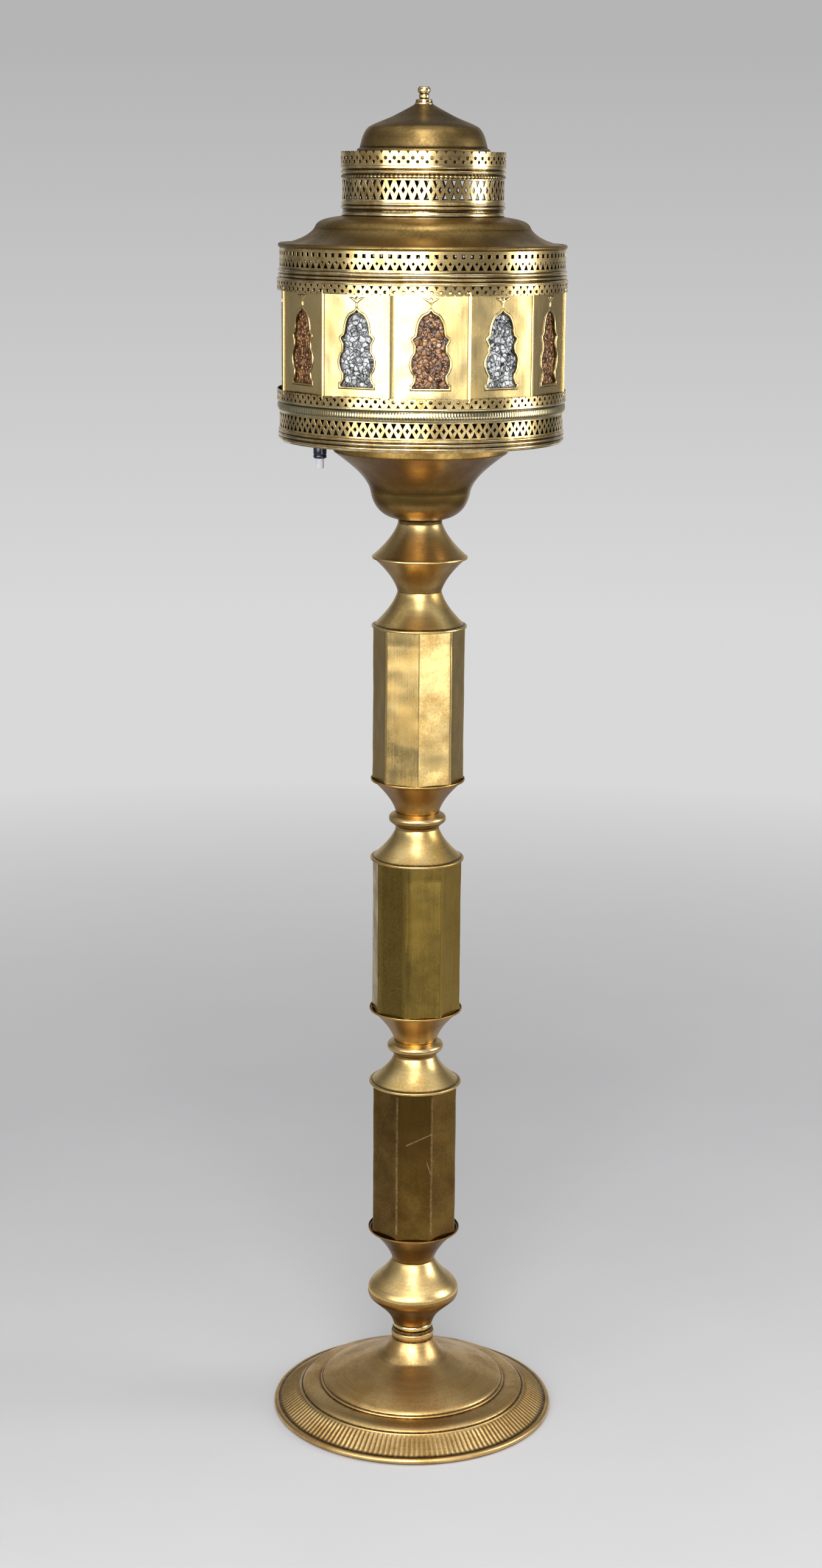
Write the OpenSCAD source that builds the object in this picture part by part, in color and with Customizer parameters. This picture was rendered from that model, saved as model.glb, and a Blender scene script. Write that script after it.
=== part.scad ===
// Lantern floor lamp of spun and pierced brass sheet, stacked on one threaded pipe.
// Millimetres. Z points up, and the origin is under the middle of the base, on the floor.
// The front of the lamp faces -Y.

/* [Sheet and clearances] */
// Thickness of the spun and folded brass sheet
sheet = 1; // [0.8:0.1:1.4]
// Gap around the pipe in every hole it passes
pipe_gap = 0.25; // [0.15:0.05:0.4]
// Gap where one part nests inside another
fit_gap = 0.3; // [0.2:0.05:0.5]

/* [Lamp pipe] */
// Outer radius of the threaded pipe
pipe_r = 5.1; // [4.6:0.1:6]
// Radius of the wire way in the pipe
pipe_bore_r = 3.4; // [2.5:0.1:3.6]
// How far the pipe stands above the lantern floor
pipe_rise = 16; // [14:1:24]
// Width across the flats of the pipe nuts
pipe_nut_w = 19; // [17:1:24]
// Height of the pipe nuts
pipe_nut_h = 5; // [4:0.5:7]

/* [Base] */
// Outer radius of the base
base_r = 167.4; // [155:0.1:185]
// Height of the base shell up to the neck ring
base_h = 99; // [90:1:115]
// Radius of the rolled wire edge
edge_roll_r = 3.6; // [3:0.1:4.5]
// Radius where the fluted border ends and the riser starts
border_r = 135; // [128:1:142]
// Number of flutes round that border
flutes = 160; // [120:8:176]
// Height of the base at the inner end of the fluted border
border_h = 24.2; // [21:0.2:28]
// Radius of the two step beads
step_r = 111; // [106:0.5:115]
// Height of the base at the foot of the cone
cone_foot_h = 36; // [33:0.5:40]
// Radius of the base neck
base_neck_r = 24; // [22:0.5:27]
// Thickness of the felt pad
felt_t = 2; // [1.5:0.5:3]
// Thickness of the iron ballast disc
ballast_t = 12; // [9:1:14]
// Outer radius of the bushing where the supply cord enters
bushing_r = 4.2; // [4:0.1:4.4]
// Radius of the way through that bushing
bushing_bore_r = 3; // [2.6:0.1:3.2]

/* [Column] */
// Radius of every neck where two spun parts meet
neck_r = 25; // [22:0.5:28]
// Radius of the rims of the cups, caps and knops
rim_r = 54.3; // [49:0.1:60]
// Height of the bright neck ring on the base
neck_ring_h = 8; // [6:0.5:11]
// Height of the lower half of the lower knop
low_knop_bottom_h = 42; // [38:1:46]
// Height of the upper half of the lower knop
low_knop_top_h = 39; // [35:1:44]
// Height of each column section, from neck to neck
section_h = 257; // [230:1:290]
// Height of the lowest cup
low_cup_h = 41; // [38:1:46]
// Height of the middle and top cups
cup_h = 40; // [36:1:45]
// Height of the lip that holds a tube
lip_h = 3; // [2.5:0.1:4.5]
// Width of the ledge inside that lip
ledge_w = 3; // [2.6:0.1:4.5]
// Height of the lowest cap
low_cap_h = 34; // [31:1:40]
// Height of the middle cap
mid_cap_h = 37; // [33:1:42]
// Height of the top cap
top_cap_h = 41; // [36:1:45]
// Radius of the two collars between the sections
collar_r = 33; // [30:0.1:37]
// Height of a collar
collar_h = 19; // [16:0.5:24]
// Height of the upper knop
high_knop_h = 78; // [70:1:88]
// Height of the edge band of the upper knop
knop_band_h = 3; // [2.5:0.5:4]

/* [Bowl and lantern] */
// Height of the bowl under the lantern
bowl_h = 94; // [86:1:104]
// Radius of the belly of the bowl
bowl_belly_r = 53.5; // [50:0.5:57]
// Radius of the rim of the bowl
bowl_rim_r = 98; // [92:1:106]
// Outer radius of the lantern at its corners
lantern_r = 159.4; // [150:0.1:170]
// Height of the lower band
lower_band_h = 14; // [12:0.5:17]
// Height of the lower pierced gallery
lower_gallery_h = 18; // [15:0.5:22]
// Height of each ring that holds the panels
panel_ring_h = 14.5; // [12:0.5:18]
// Height of the panels
panel_h = 128.5; // [115:0.5:140]
// Height of the scalloped trims
trim_h = 10.5; // [9:0.5:13]
// Height of the upper pierced gallery
upper_gallery_h = 20.5; // [17:0.5:24]
// Number of pierced strips round the lantern
gallery_strips = 17; // [15:1:19]
// Number of pierced repeats in each of them
gallery_repeats = 6; // [5:1:7]
// Turn of the lantern about the column
lantern_turn = 3.5; // [0:0.5:29]

/* [Windows] */
// Height of the window
window_h = 80; // [70:1:88]
// Height of its foot above the lower edge of the panel
window_foot_h = 21.5; // [19:0.5:26]
// Half width of the window at its bulge
window_half_w = 20.5; // [17:0.5:23]
// Width of the raised border around it
border_w = 2.4; // [1.6:0.2:3]
// Height of that border above the sheet
border_rise = 1; // [0.6:0.1:1.5]
// Height of the embossed leaves over its tip
leaf_h = 11; // [8:0.5:13]
// Thickness of the pebbled glass
glass_t = 3; // [2.5:0.5:4]

/* [Roof and drum] */
// Height of the roof
roof_h = 35; // [31:1:42]
// Outer radius of the small drum
drum_r = 90.5; // [84:0.5:96]
// Height of the lower moulding of the drum
drum_base_h = 15; // [13:0.5:18]
// Height of the pierced gallery of the drum
drum_gallery_h = 24; // [20:0.5:28]
// Height of the upper moulding of the drum
drum_top_h = 14; // [12:0.5:17]
// Height of the crown around the lid
crown_h = 15; // [12:0.5:18]
// Number of pierced strips round the drum
drum_strips = 8; // [7:1:10]
// Number of pierced repeats in each of them
drum_repeats = 7; // [5:1:8]

/* [Lid and finial] */
// Height of the domed lid
dome_h = 65; // [58:1:72]
// Radius of the lid above its foot
dome_r = 70; // [66:0.5:74]
// Height of the finial
finial_h = 19; // [17:0.5:22]

/* [Lamp holder and bulb] */
// Outer radius of the lamp holder
holder_r = 17; // [15.5:0.5:19]
// Height of its shell
holder_h = 46; // [42:1:52]
// Radius of the bulb
bulb_r = 30; // [27:0.5:32]
// Height of the bulb from the contact to the top
bulb_h = 106; // [98:1:112]

/* [Switch] */
// Gap between the rim of the bowl and the switch
switch_gap = 6.5; // [4:0.5:10]
// Outer radius of the switch body
switch_r = 7.5; // [7:0.1:9]
// Height of the switch body under the floor
switch_h = 23; // [20:0.5:27]
// Radius of the push button
button_r = 4.5; // [4:0.1:5]
// How far the button stands out
button_out = 11.5; // [9:0.5:14]
// How far the button is pressed in
button_travel = 3; // [2:0.5:3.5]

/* [Hidden] */

brass = "darkgoldenrod";
bright_brass = "gold";
dark_brass = "peru";

round_fn = 96;
sides = 12;
side_angle = 360 / sides;
curve_steps = 8;
hole_r = pipe_r + pipe_gap;

// Heights of the joints between the stacked parts
z_neck_ring = base_h;
z_low_knop = z_neck_ring + neck_ring_h;
z_low_knop_mid = z_low_knop + low_knop_bottom_h;
z_low = z_low_knop_mid + low_knop_top_h;
z_low_collar = z_low + section_h;
z_mid = z_low_collar + collar_h;
z_high_collar = z_mid + section_h;
z_top = z_high_collar + collar_h;
z_high_knop = z_top + section_h;
z_bowl = z_high_knop + high_knop_h;
z_floor = z_bowl + bowl_h;
z_lower_band = z_floor - sheet;
z_lower_gallery = z_lower_band + lower_band_h;
z_reeded_ring = z_lower_gallery + lower_gallery_h;
z_panel = z_reeded_ring + panel_ring_h;
z_upper_band = z_panel + panel_h;
z_upper_gallery = z_upper_band + panel_ring_h;
z_roof = z_upper_gallery + upper_gallery_h;
z_drum_base = z_roof + roof_h;
z_drum_gallery = z_drum_base + drum_base_h;
z_drum_top = z_drum_gallery + drum_gallery_h;
z_crown = z_drum_top + drum_top_h;
z_dome = z_crown + fit_gap;
z_finial = z_dome + dome_h;

// Radii of the lantern walls
ring_wall = 1.8;
strip_r = lantern_r - 1.6;
wall_r = strip_r + 0.4;
wall_in_r = wall_r - ring_wall;
land_r = lantern_r + 1.6;
land_in_r = lantern_r * cos(side_angle / 2) - 8;
floor_flange_r = wall_in_r - 8;
panel_r = lantern_r - 0.2;
panel_apothem = panel_r * cos(side_angle / 2);
trim_r = panel_r + fit_gap + sheet;
drum_strip_r = drum_r - 1.6;
drum_wall_r = drum_strip_r + 0.4;
drum_wall_in_r = drum_wall_r - ring_wall;

// Curves and outlines -------------------------------------------------------

function bezier(a, b, c, d) =
  [for (i = [0 : curve_steps]) let (t = i / curve_steps, u = 1 - t)
    u^3 * a + 3 * u^2 * t * b + 3 * u * t^2 * c + t^3 * d];

function arc(centre, r, from, to) =
  [for (i = [0 : curve_steps]) let (a = from + (to - from) * i / curve_steps)
    centre + r * [cos(a), sin(a)]];

function reversed(p) = [for (i = [len(p) - 1 : -1 : 0]) p[i]];

function left_of(a, b) = [a.y - b.y, b.x - a.x] / norm(b - a);

// The outline moved to its left by t, with mitred corners and its two ends kept in their own planes
function moved_left(p, t) =
  let (last = len(p) - 1)
  [for (i = [0 : last])
    let (before = left_of(p[max(i - 1, 0)], p[max(i, 1)]),
         after = left_of(p[min(i, last - 1)], p[min(i + 1, last)]),
         middle = (before + after) / norm(before + after))
    p[i] + (i == 0 || i == last ? end_shift(before, t) : middle * t / (middle * before))];

function end_shift(side, t) = abs(side.x) > abs(side.y) ? [t / side.x, 0] : [0, t / side.y];

// A sheet part of revolution, from its outer outline; the inside is on the left of the outline
module spun(outline) {
  rotate_extrude($fn = round_fn)
    polygon(concat(outline, reversed(moved_left(outline, sheet))));
}

module turned(outline) {
  rotate_extrude($fn = round_fn) polygon(outline);
}

module hexagon_nut(width, height, bore) {
  difference() {
    cylinder(r = width / 2 / cos(30), h = height, $fn = 6);
    translate([0, 0, -1]) cylinder(r = bore, h = height + 2, $fn = round_fn);
  }
}

// Base ----------------------------------------------------------------------

edge_z = edge_roll_r + 0.6;
edge_centre_r = base_r - edge_roll_r;

border_foot = [edge_centre_r - 4, edge_z + 3.6];
border_head = [border_r + 1, border_h - 1];

base_outline = concat(
  arc([edge_centre_r, edge_z], edge_roll_r, -90, 120),
  [border_foot,
   border_head,
   [border_r + 0.8, border_h],
   [border_r - 2, border_h]],
  bezier([border_r - 2.4, border_h + 0.8], [border_r - 8, border_h + 3.5],
         [step_r + 8, cone_foot_h - 6.5], [step_r, cone_foot_h - 5]),
  [[step_r - 0.3, cone_foot_h - 2.4],
   [step_r - 3, cone_foot_h - 1.8],
   [step_r - 3.6, cone_foot_h]],
  bezier([step_r - 5, cone_foot_h + 1], [step_r * 0.8, cone_foot_h + 14],
         [base_neck_r + 7, base_h * 0.68], [base_neck_r + 0.5, base_h - 12]),
  [[base_neck_r + 1.5, base_h - 8],
   [base_neck_r + 1.5, base_h - 5],
   [base_neck_r, base_h - 3],
   [base_neck_r, base_h],
   [hole_r, base_h]]);

ballast_r = border_r - 0.5;
ballast_rim = 20;
ballast_top = border_h - sheet;
nut_pocket_h = 9;
cord_way_w = 10;
felt_r = edge_centre_r - 8;
bushing_y = felt_r + 0.5;

// Shallow flat-bottomed cuts, drawn up the slope of the border from just above the bushing
module border_flutes() {
  width = 0.6 * 2 * PI * border_head.x / flutes;
  depth = 0.4;
  slope = atan2(border_head.y - border_foot.y, border_foot.x - border_head.x);
  foot_margin = (edge_z + bushing_r + 2 * depth - border_foot.y) / sin(slope);
  head_margin = 3 * depth;
  for (i = [0 : flutes - 1])
    rotate([0, 0, (i + 0.5) * 360 / flutes]) translate([border_foot.x, 0, border_foot.y])
      rotate([0, slope - 90, 0]) translate([-depth, -width / 2, foot_margin])
        cube([3 * depth, width, norm(border_head - border_foot) - foot_margin - head_margin]);
}

module base_shell() {
  color(brass) difference() {
    spun(base_outline);
    border_flutes();
    translate([0, bushing_y - 1, edge_z])
      rotate([-90, 0, 0]) cylinder(r = bushing_r, h = base_r - bushing_y + 2, $fn = round_fn);
  }
}

module base_ballast() {
  color("dimgray") difference() {
    turned([[hole_r, felt_t], [ballast_r, felt_t], [ballast_r, ballast_top],
            [ballast_r - ballast_rim, ballast_top], [ballast_r - ballast_rim - 2, felt_t + ballast_t],
            [hole_r, felt_t + ballast_t]]);
    translate([0, 0, -1]) cylinder(r = pipe_nut_w, h = felt_t + nut_pocket_h + 1, $fn = round_fn);
    translate([-cord_way_w / 2, 0, -1]) cube([cord_way_w, base_r, felt_t + nut_pocket_h - 1]);
    translate([-cord_way_w / 2, ballast_r - ballast_rim - 5, -1])
      cube([cord_way_w, ballast_rim + 10, felt_t + nut_pocket_h + 6]);
  }
}

module base_felt() {
  color("darkgreen") difference() {
    cylinder(r = felt_r, h = felt_t, $fn = round_fn);
    translate([-cord_way_w / 2, ballast_r - 6, -1]) cube([cord_way_w, base_r, felt_t + 2]);
  }
}

module base_nut() {
  color("silver") translate([0, 0, felt_t + nut_pocket_h - pipe_nut_h])
    hexagon_nut(pipe_nut_w, pipe_nut_h, pipe_r);
}

module cord_bushing() {
  length = base_r + 0.6 - bushing_y;
  color("black") translate([0, bushing_y, edge_z]) rotate([-90, 0, 0]) difference() {
    cylinder(r = bushing_r, h = length, $fn = round_fn);
    translate([0, 0, -1]) cylinder(r = bushing_bore_r, h = length + 2, $fn = round_fn);
  }
}

// Column --------------------------------------------------------------------

module lamp_pipe() {
  foot = felt_t + 1.5;
  color("silver") translate([0, 0, foot]) difference() {
    cylinder(r = pipe_r, h = z_floor + pipe_rise - foot, $fn = round_fn);
    translate([0, 0, -1]) cylinder(r = pipe_bore_r, h = z_floor + pipe_rise, $fn = round_fn);
  }
}

module neck_ring() {
  color("white") translate([0, 0, z_neck_ring])
    turned(concat([[hole_r, 0]],
                  arc([base_neck_r - neck_ring_h / 2 - 0.5, neck_ring_h / 2], neck_ring_h / 2, -90, 90),
                  [[hole_r, neck_ring_h]]));
}

// The curve of a spun flare that leaves its neck steeply and opens toward its rim
function flare(neck, rim, h) =
  bezier([neck, 0], [neck + 0.14 * (rim - neck), 0.38 * h],
         [neck + 0.6 * (rim - neck), 0.73 * h], [rim, h]);

// A spun flare with a stepped lip, standing on its neck
module flared_cup(h, lip, ledge) {
  spun(concat([[hole_r, 0]], flare(neck_r, rim_r - ledge, h - lip), [[rim_r, h - lip], [rim_r, h]]));
}

// The halves of the lower knop meet rim to rim in a rounded edge
module low_knop_bottom() {
  h = low_knop_bottom_h;
  color(brass) translate([0, 0, z_low_knop])
    spun(concat([[hole_r, 0]],
                bezier([base_neck_r, 0], [base_neck_r + 4, 0.34 * h],
                       [rim_r - 14, 0.52 * h], [rim_r - 1.7, 0.81 * h]),
                [[rim_r - 0.5, 0.88 * h], [rim_r, 0.95 * h], [rim_r, h]]));
}

module low_knop_top() {
  h = low_knop_top_h;
  color(brass) translate([0, 0, z_low_knop_mid])
    spun(concat([[rim_r, 0]],
                bezier([rim_r - 0.7, 0.1 * h], [rim_r - 5.6, 0.41 * h], [neck_r + 12, 0.42 * h], [neck_r, h]),
                [[hole_r, h]]));
}

module cup(z, h) {
  color(brass) translate([0, 0, z]) flared_cup(h, lip_h, ledge_w);
}

module low_cup() {
  cup(z_low, low_cup_h);
}

module mid_cup() {
  cup(z_mid, cup_h);
}

module top_cup() {
  cup(z_top, cup_h);
}

module cap(top, h) {
  color(brass) translate([0, 0, top]) mirror([0, 0, 1]) flared_cup(h, lip_h, ledge_w);
}

module low_cap() {
  cap(z_low_collar, low_cap_h);
}

module mid_cap() {
  cap(z_high_collar, mid_cap_h);
}

module top_cap() {
  cap(z_high_knop, top_cap_h);
}

// An eight-sided tube from the ledge of a cup to the ledge of a cap; turn is the angle of a corner
module column_tube(from, to, turn) {
  corner_r = rim_r - sheet - fit_gap;
  color(bright_brass) translate([0, 0, from]) rotate([0, 0, turn - 90])
    linear_extrude(height = to - from) difference() {
      circle(r = corner_r, $fn = 8);
      circle(r = corner_r - sheet / cos(22.5), $fn = 8);
    }
}

low_tube_turn = 22.5;
mid_tube_turn = -12;
top_tube_turn = 0;

module low_tube() {
  column_tube(z_low + low_cup_h - lip_h + sheet, z_low_collar - low_cap_h + lip_h - sheet, low_tube_turn);
}

module mid_tube() {
  column_tube(z_mid + cup_h - lip_h + sheet, z_high_collar - mid_cap_h + lip_h - sheet, mid_tube_turn);
}

module top_tube() {
  column_tube(z_top + cup_h - lip_h + sheet, z_high_knop - top_cap_h + lip_h - sheet, top_tube_turn);
}

// A hollow collar that is slimmer below its widest line than above it
module collar(z) {
  h = collar_h;
  wall = 5;
  color(brass) translate([0, 0, z]) difference() {
    turned(concat([[hole_r, 0]],
                  bezier([neck_r, 0], [neck_r + 1, 0.3 * h], [collar_r, 0.32 * h], [collar_r, 0.56 * h]),
                  bezier([collar_r, 0.62 * h], [collar_r, 0.8 * h], [neck_r + 4, 0.88 * h], [neck_r, h]),
                  [[hole_r, h]]));
    translate([0, 0, wall / 2]) cylinder(r = neck_r - wall, h = h - wall, $fn = round_fn);
  }
}

module low_collar() {
  collar(z_low_collar);
}

module high_collar() {
  collar(z_high_collar);
}

// The upper knop is two flares rim to rim; the lower one nests in the edge band of the upper one
module high_knop_bottom() {
  h = high_knop_h / 2 + knop_band_h / 2 - sheet;
  rim = rim_r - sheet - fit_gap;
  color(brass) translate([0, 0, z_high_knop])
    spun(concat([[hole_r, 0]], flare(neck_r, rim, h - sheet), [[rim, h]]));
}

module high_knop_top() {
  knop_ledge = 1.4;
  color(brass) translate([0, 0, z_bowl]) mirror([0, 0, 1])
    flared_cup(high_knop_h / 2 + knop_band_h / 2, knop_band_h, knop_ledge);
}

// The bowl leaves a short neck in a full belly and flares out under the lantern floor
module bowl() {
  h = bowl_h;
  color(dark_brass) translate([0, 0, z_bowl])
    spun(concat([[hole_r, 0], [neck_r, 0]],
                bezier([neck_r, 0.04 * h], [neck_r + 14, 0.073 * h],
                       [bowl_belly_r - 3, 0.171 * h], [bowl_belly_r, 0.345 * h]),
                bezier([bowl_belly_r + 0.5, 0.37 * h], [bowl_belly_r + 4, 0.48 * h],
                       [bowl_belly_r + 13.5, 0.62 * h], [bowl_rim_r, 0.85 * h]),
                [[bowl_rim_r + 1, h]]));
}

// Lantern rings ---------------------------------------------------------------

// A half-round bead on a wall of radius r, at height z and as high as 2 * half
function bead(r, z, half) = arc([r, z], half, -80, 80);

module lantern_floor() {
  color(brass) translate([0, 0, z_floor]) difference() {
    cylinder(r = wall_in_r - fit_gap, h = sheet, $fn = round_fn);
    translate([0, 0, -1]) cylinder(r = hole_r, h = sheet + 2, $fn = round_fn);
    translate([-switch_x, 0, -1]) cylinder(r = switch_neck_r + pipe_gap, h = sheet + 2, $fn = round_fn);
  }
}

module floor_nut() {
  color("silver") translate([0, 0, z_floor + sheet]) hexagon_nut(pipe_nut_w, pipe_nut_h, pipe_r);
}

module lower_band() {
  h = lower_band_h;
  color(bright_brass) translate([0, 0, z_lower_band])
    turned(concat([[floor_flange_r, 0], [wall_r - 1, 0]],
                  bead(wall_r - 0.6, 0.24 * h, 0.125 * h),
                  bead(wall_r - 0.8, 0.56 * h, 0.145 * h),
                  bead(wall_r - 0.6, 0.84 * h, 0.11 * h),
                  [[wall_r, 0.96 * h], [wall_r, h], [wall_in_r, h],
                   [wall_in_r, sheet], [floor_flange_r, sheet]]));
}

// A ring from its mouldings and a land, which reaches inward under the panels and outward under a trim
module panel_ring(mouldings) {
  h = panel_ring_h;
  turned(concat([[wall_in_r, 0], [wall_r, 0]], mouldings,
                [[land_r, h - 1.8], [land_r, h], [land_in_r, h],
                 [land_in_r, h - sheet], [wall_in_r, h - sheet]]));
}

module reeded_ring() {
  h = panel_ring_h;
  color("khaki") translate([0, 0, z_reeded_ring])
    panel_ring(concat([[wall_r, 0.08 * h]],
                      bezier([wall_r + 0.2, 0.11 * h], [land_r, 0.2 * h], [land_r, 0.58 * h],
                             [wall_r + 0.6, 0.79 * h])));
}

module upper_band() {
  h = panel_ring_h;
  color(bright_brass) translate([0, 0, z_upper_gallery]) mirror([0, 0, 1])
    panel_ring(concat(bead(wall_r - 0.6, 0.3 * h, 0.155 * h), bead(wall_r - 0.2, 0.61 * h, 0.125 * h)));
}

// Pierced strips ----------------------------------------------------------------

strip_seam = 0.1;
gallery_pitch = 360 / gallery_strips / gallery_repeats;
drum_pitch = 360 / drum_strips / drum_repeats;

// Strips of a thin ring side by side round the axis, from the front; turn starts the first one
module around(count, turn) {
  for (i = [0 : count - 1]) rotate([0, 0, turn - 90 + i * 360 / count]) children();
}

module strip(r, h, span) {
  rotate([0, 0, strip_seam / 2])
    rotate_extrude(angle = span - strip_seam, $fn = round_fn)
      translate([r - sheet, 0]) square([sheet, h]);
}

// Cuts the children, drawn flat, through a strip: first angle, number and pitch of the cuts
module pierce(r, first, count, pitch) {
  for (i = [0 : count - 1])
    rotate([0, 0, first + i * pitch]) translate([r - sheet / 2, 0, 0])
      rotate([90, 0, 90]) linear_extrude(height = 4 * sheet, center = true) children();
}

// A triangle between the heights of its foot and its point, which may hang below the foot
module triangle(half, foot, point) {
  polygon([[-half, foot], [half, foot], [0, point]]);
}

module diamond(half, foot, head) {
  middle = (foot + head) / 2;
  polygon([[-half, middle], [0, foot], [half, middle], [0, head]]);
}

// Crossing bars: a foot and a head triangle in every repeat, and diamonds between the repeats. The
// joints between the strips run through the middle of a diamond.
module gallery_strip(r, h, repeats, pitch) {
  w = r * pitch * PI / 180;
  difference() {
    strip(r, h, repeats * pitch);
    pierce(r, pitch / 2, repeats, pitch) {
      triangle(0.26 * w, 0.12 * h, 0.4 * h);
      triangle(0.26 * w, 0.92 * h, 0.63 * h);
    }
    pierce(r, 0, repeats + 1, pitch) diamond(0.17 * w, 0.39 * h, 0.63 * h);
  }
}

module lower_gallery() {
  color(bright_brass) translate([0, 0, z_lower_gallery]) around(gallery_strips, -gallery_pitch / 2)
    gallery_strip(strip_r, lower_gallery_h, gallery_repeats, gallery_pitch);
}

// The upper gallery has a row of squares, and small diamonds over its foot triangles
module upper_gallery() {
  h = upper_gallery_h;
  w = strip_r * gallery_pitch * PI / 180;
  color(bright_brass) translate([0, 0, z_upper_gallery]) around(gallery_strips, 0) difference() {
    strip(strip_r, h, gallery_repeats * gallery_pitch);
    pierce(strip_r, gallery_pitch / 2, gallery_repeats, gallery_pitch) {
      translate([-0.17 * w, 0.64 * h]) square([0.34 * w, 0.17 * h]);
      triangle(0.23 * w, 0.06 * h, 0.3 * h);
    }
    pierce(strip_r, 0, gallery_repeats + 1, gallery_pitch) diamond(0.13 * w, 0.29 * h, 0.42 * h);
  }
}

module drum_gallery() {
  color(bright_brass) translate([0, 0, z_drum_gallery]) around(drum_strips, -drum_pitch / 6)
    gallery_strip(drum_strip_r, drum_gallery_h, drum_repeats, drum_pitch);
}

// A strip with a hole in every repeat near its free edge, and small triangles between them at its foot
module trim_strip() {
  w = trim_r * gallery_pitch * PI / 180;
  difference() {
    strip(trim_r, trim_h, gallery_repeats * gallery_pitch);
    pierce(trim_r, gallery_pitch / 2, gallery_repeats, gallery_pitch)
      translate([0, 0.68 * trim_h]) circle(r = 0.15 * w, $fn = 24);
    pierce(trim_r, 0, gallery_repeats + 1, gallery_pitch) {
      triangle(0.15 * w, 0.08 * trim_h, 0.36 * trim_h);
      polygon([[-0.12 * w, trim_h + 1], [0, 0.8 * trim_h], [0.12 * w, trim_h + 1]]);
    }
  }
}

module lower_trim() {
  color(bright_brass) translate([0, 0, z_panel]) around(gallery_strips, -gallery_pitch / 2) trim_strip();
}

module upper_trim() {
  color(bright_brass) translate([0, 0, z_upper_band]) mirror([0, 0, 1])
    around(gallery_strips, -gallery_pitch / 2) trim_strip();
}

// The crown has two rows of round holes, half a repeat apart, under a scalloped edge
module drum_crown() {
  h = crown_h;
  w = drum_r * drum_pitch * PI / 180;
  color(bright_brass) translate([0, 0, z_crown]) around(drum_strips, -drum_pitch / 8) difference() {
    strip(drum_r, h, drum_repeats * drum_pitch);
    pierce(drum_r, drum_pitch / 2, drum_repeats, drum_pitch) {
      translate([0, 0.25 * h]) circle(r = 0.15 * w, $fn = 24);
      polygon([[-0.18 * w, h + 1], [0, 0.78 * h], [0.18 * w, h + 1]]);
    }
    pierce(drum_r, 0, drum_repeats + 1, drum_pitch)
      translate([0, 0.52 * h]) circle(r = 0.16 * w, $fn = 24);
  }
}

// Panels and glass ----------------------------------------------------------------

// Right half of the window outline, from the middle of the foot up to the apex, grown by g
function window_side(g) =
  let (w = window_half_w, h = window_h)
  concat(
    [[0, -g], [0.94 * w + g, -g]],
    bezier([0.94 * w + g, 0.02 * h + g], [0.85 * w + g, 0.04 * h], [0.77 * w + g, 0.07 * h],
           [0.76 * w + g, 0.12 * h]),
    bezier([0.76 * w + g, 0.17 * h], [1.06 * w + g, 0.24 * h], [1.06 * w + g, 0.4 * h],
           [0.76 * w + g, 0.46 * h]),
    [[0.76 * w + g, 0.56 * h],
     [0.9 * w + g, 0.62 * h],
     [0.9 * w + g, 0.64 * h + g / 2],
     [0.7 * w + g, 0.68 * h + g / 2]],
    bezier([0.68 * w + g, 0.74 * h], [0.64 * w + g, 0.86 * h + g / 2], [0.42 * w + g, 0.93 * h + g],
           [0.3 * w + g / 2, 0.945 * h + g]),
    [[0, h + 1.8 * g]]);

module window(g) {
  side = window_side(g);
  polygon(concat(side, reversed([for (p = side) if (p.x > 0) [-p.x, p.y]])));
}

// A stem and two leaves that open from the tip of the border
module leaves() {
  tip = window_h + 1.5 * border_w;
  right = [[0.13 * leaf_h, -1], [0.16 * leaf_h, 0.36 * leaf_h], [0.42 * leaf_h, 0.66 * leaf_h],
           [0.8 * leaf_h, 0.94 * leaf_h], [0.52 * leaf_h, leaf_h], [0.22 * leaf_h, 0.78 * leaf_h]];
  translate([0, tip]) polygon(concat(right, [[0, leaf_h]], reversed([for (p = right) [-p.x, p.y]])));
}

// Stands a flat drawing upright on the side, from radius a to radius b
module on_side(a, b) {
  translate([a, 0, 0]) rotate([90, 0, 90]) linear_extrude(height = b - a) children();
}

// The plan of a panel: a plate with a folded return along each mitred edge
module panel_plan() {
  slope = tan(side_angle / 2);
  half = panel_apothem * slope - 0.05;
  back = 7;
  fold = sheet / cos(side_angle / 2);
  side = [[panel_apothem, half],
          [panel_apothem - back, half - back * slope],
          [panel_apothem - back, half - back * slope - fold],
          [panel_apothem - sheet, half - sheet * slope - fold]];
  polygon(concat(side, reversed([for (p = side) [p.x, -p.y]])));
}

module panel(i) {
  color(i % 2 == 1 ? bright_brass : "khaki")
    rotate([0, 0, lantern_turn - 90 + (i - 1) * side_angle]) translate([0, 0, z_panel]) difference() {
      union() {
        linear_extrude(height = panel_h) panel_plan();
        translate([0, 0, window_foot_h])
          on_side(panel_apothem - sheet, panel_apothem + border_rise) {
            window(border_w);
            leaves();
          }
      }
      translate([0, 0, window_foot_h])
        on_side(panel_apothem - 2 * sheet, panel_apothem + 2 * border_rise) window(0);
    }
}

module panes(first) {
  edge = 7;
  for (i = [first : 2 : sides])
    rotate([0, 0, lantern_turn - 90 + (i - 1) * side_angle])
      translate([panel_apothem - sheet - glass_t, -window_half_w - edge, z_panel + window_foot_h - edge])
        cube([glass_t, 2 * (window_half_w + edge), window_h + 2 * edge]);
}

module amber_panes() {
  color("saddlebrown") panes(1);
}

module clear_panes() {
  color("lightgray") panes(2);
}

// Roof and drum -----------------------------------------------------------------

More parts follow.
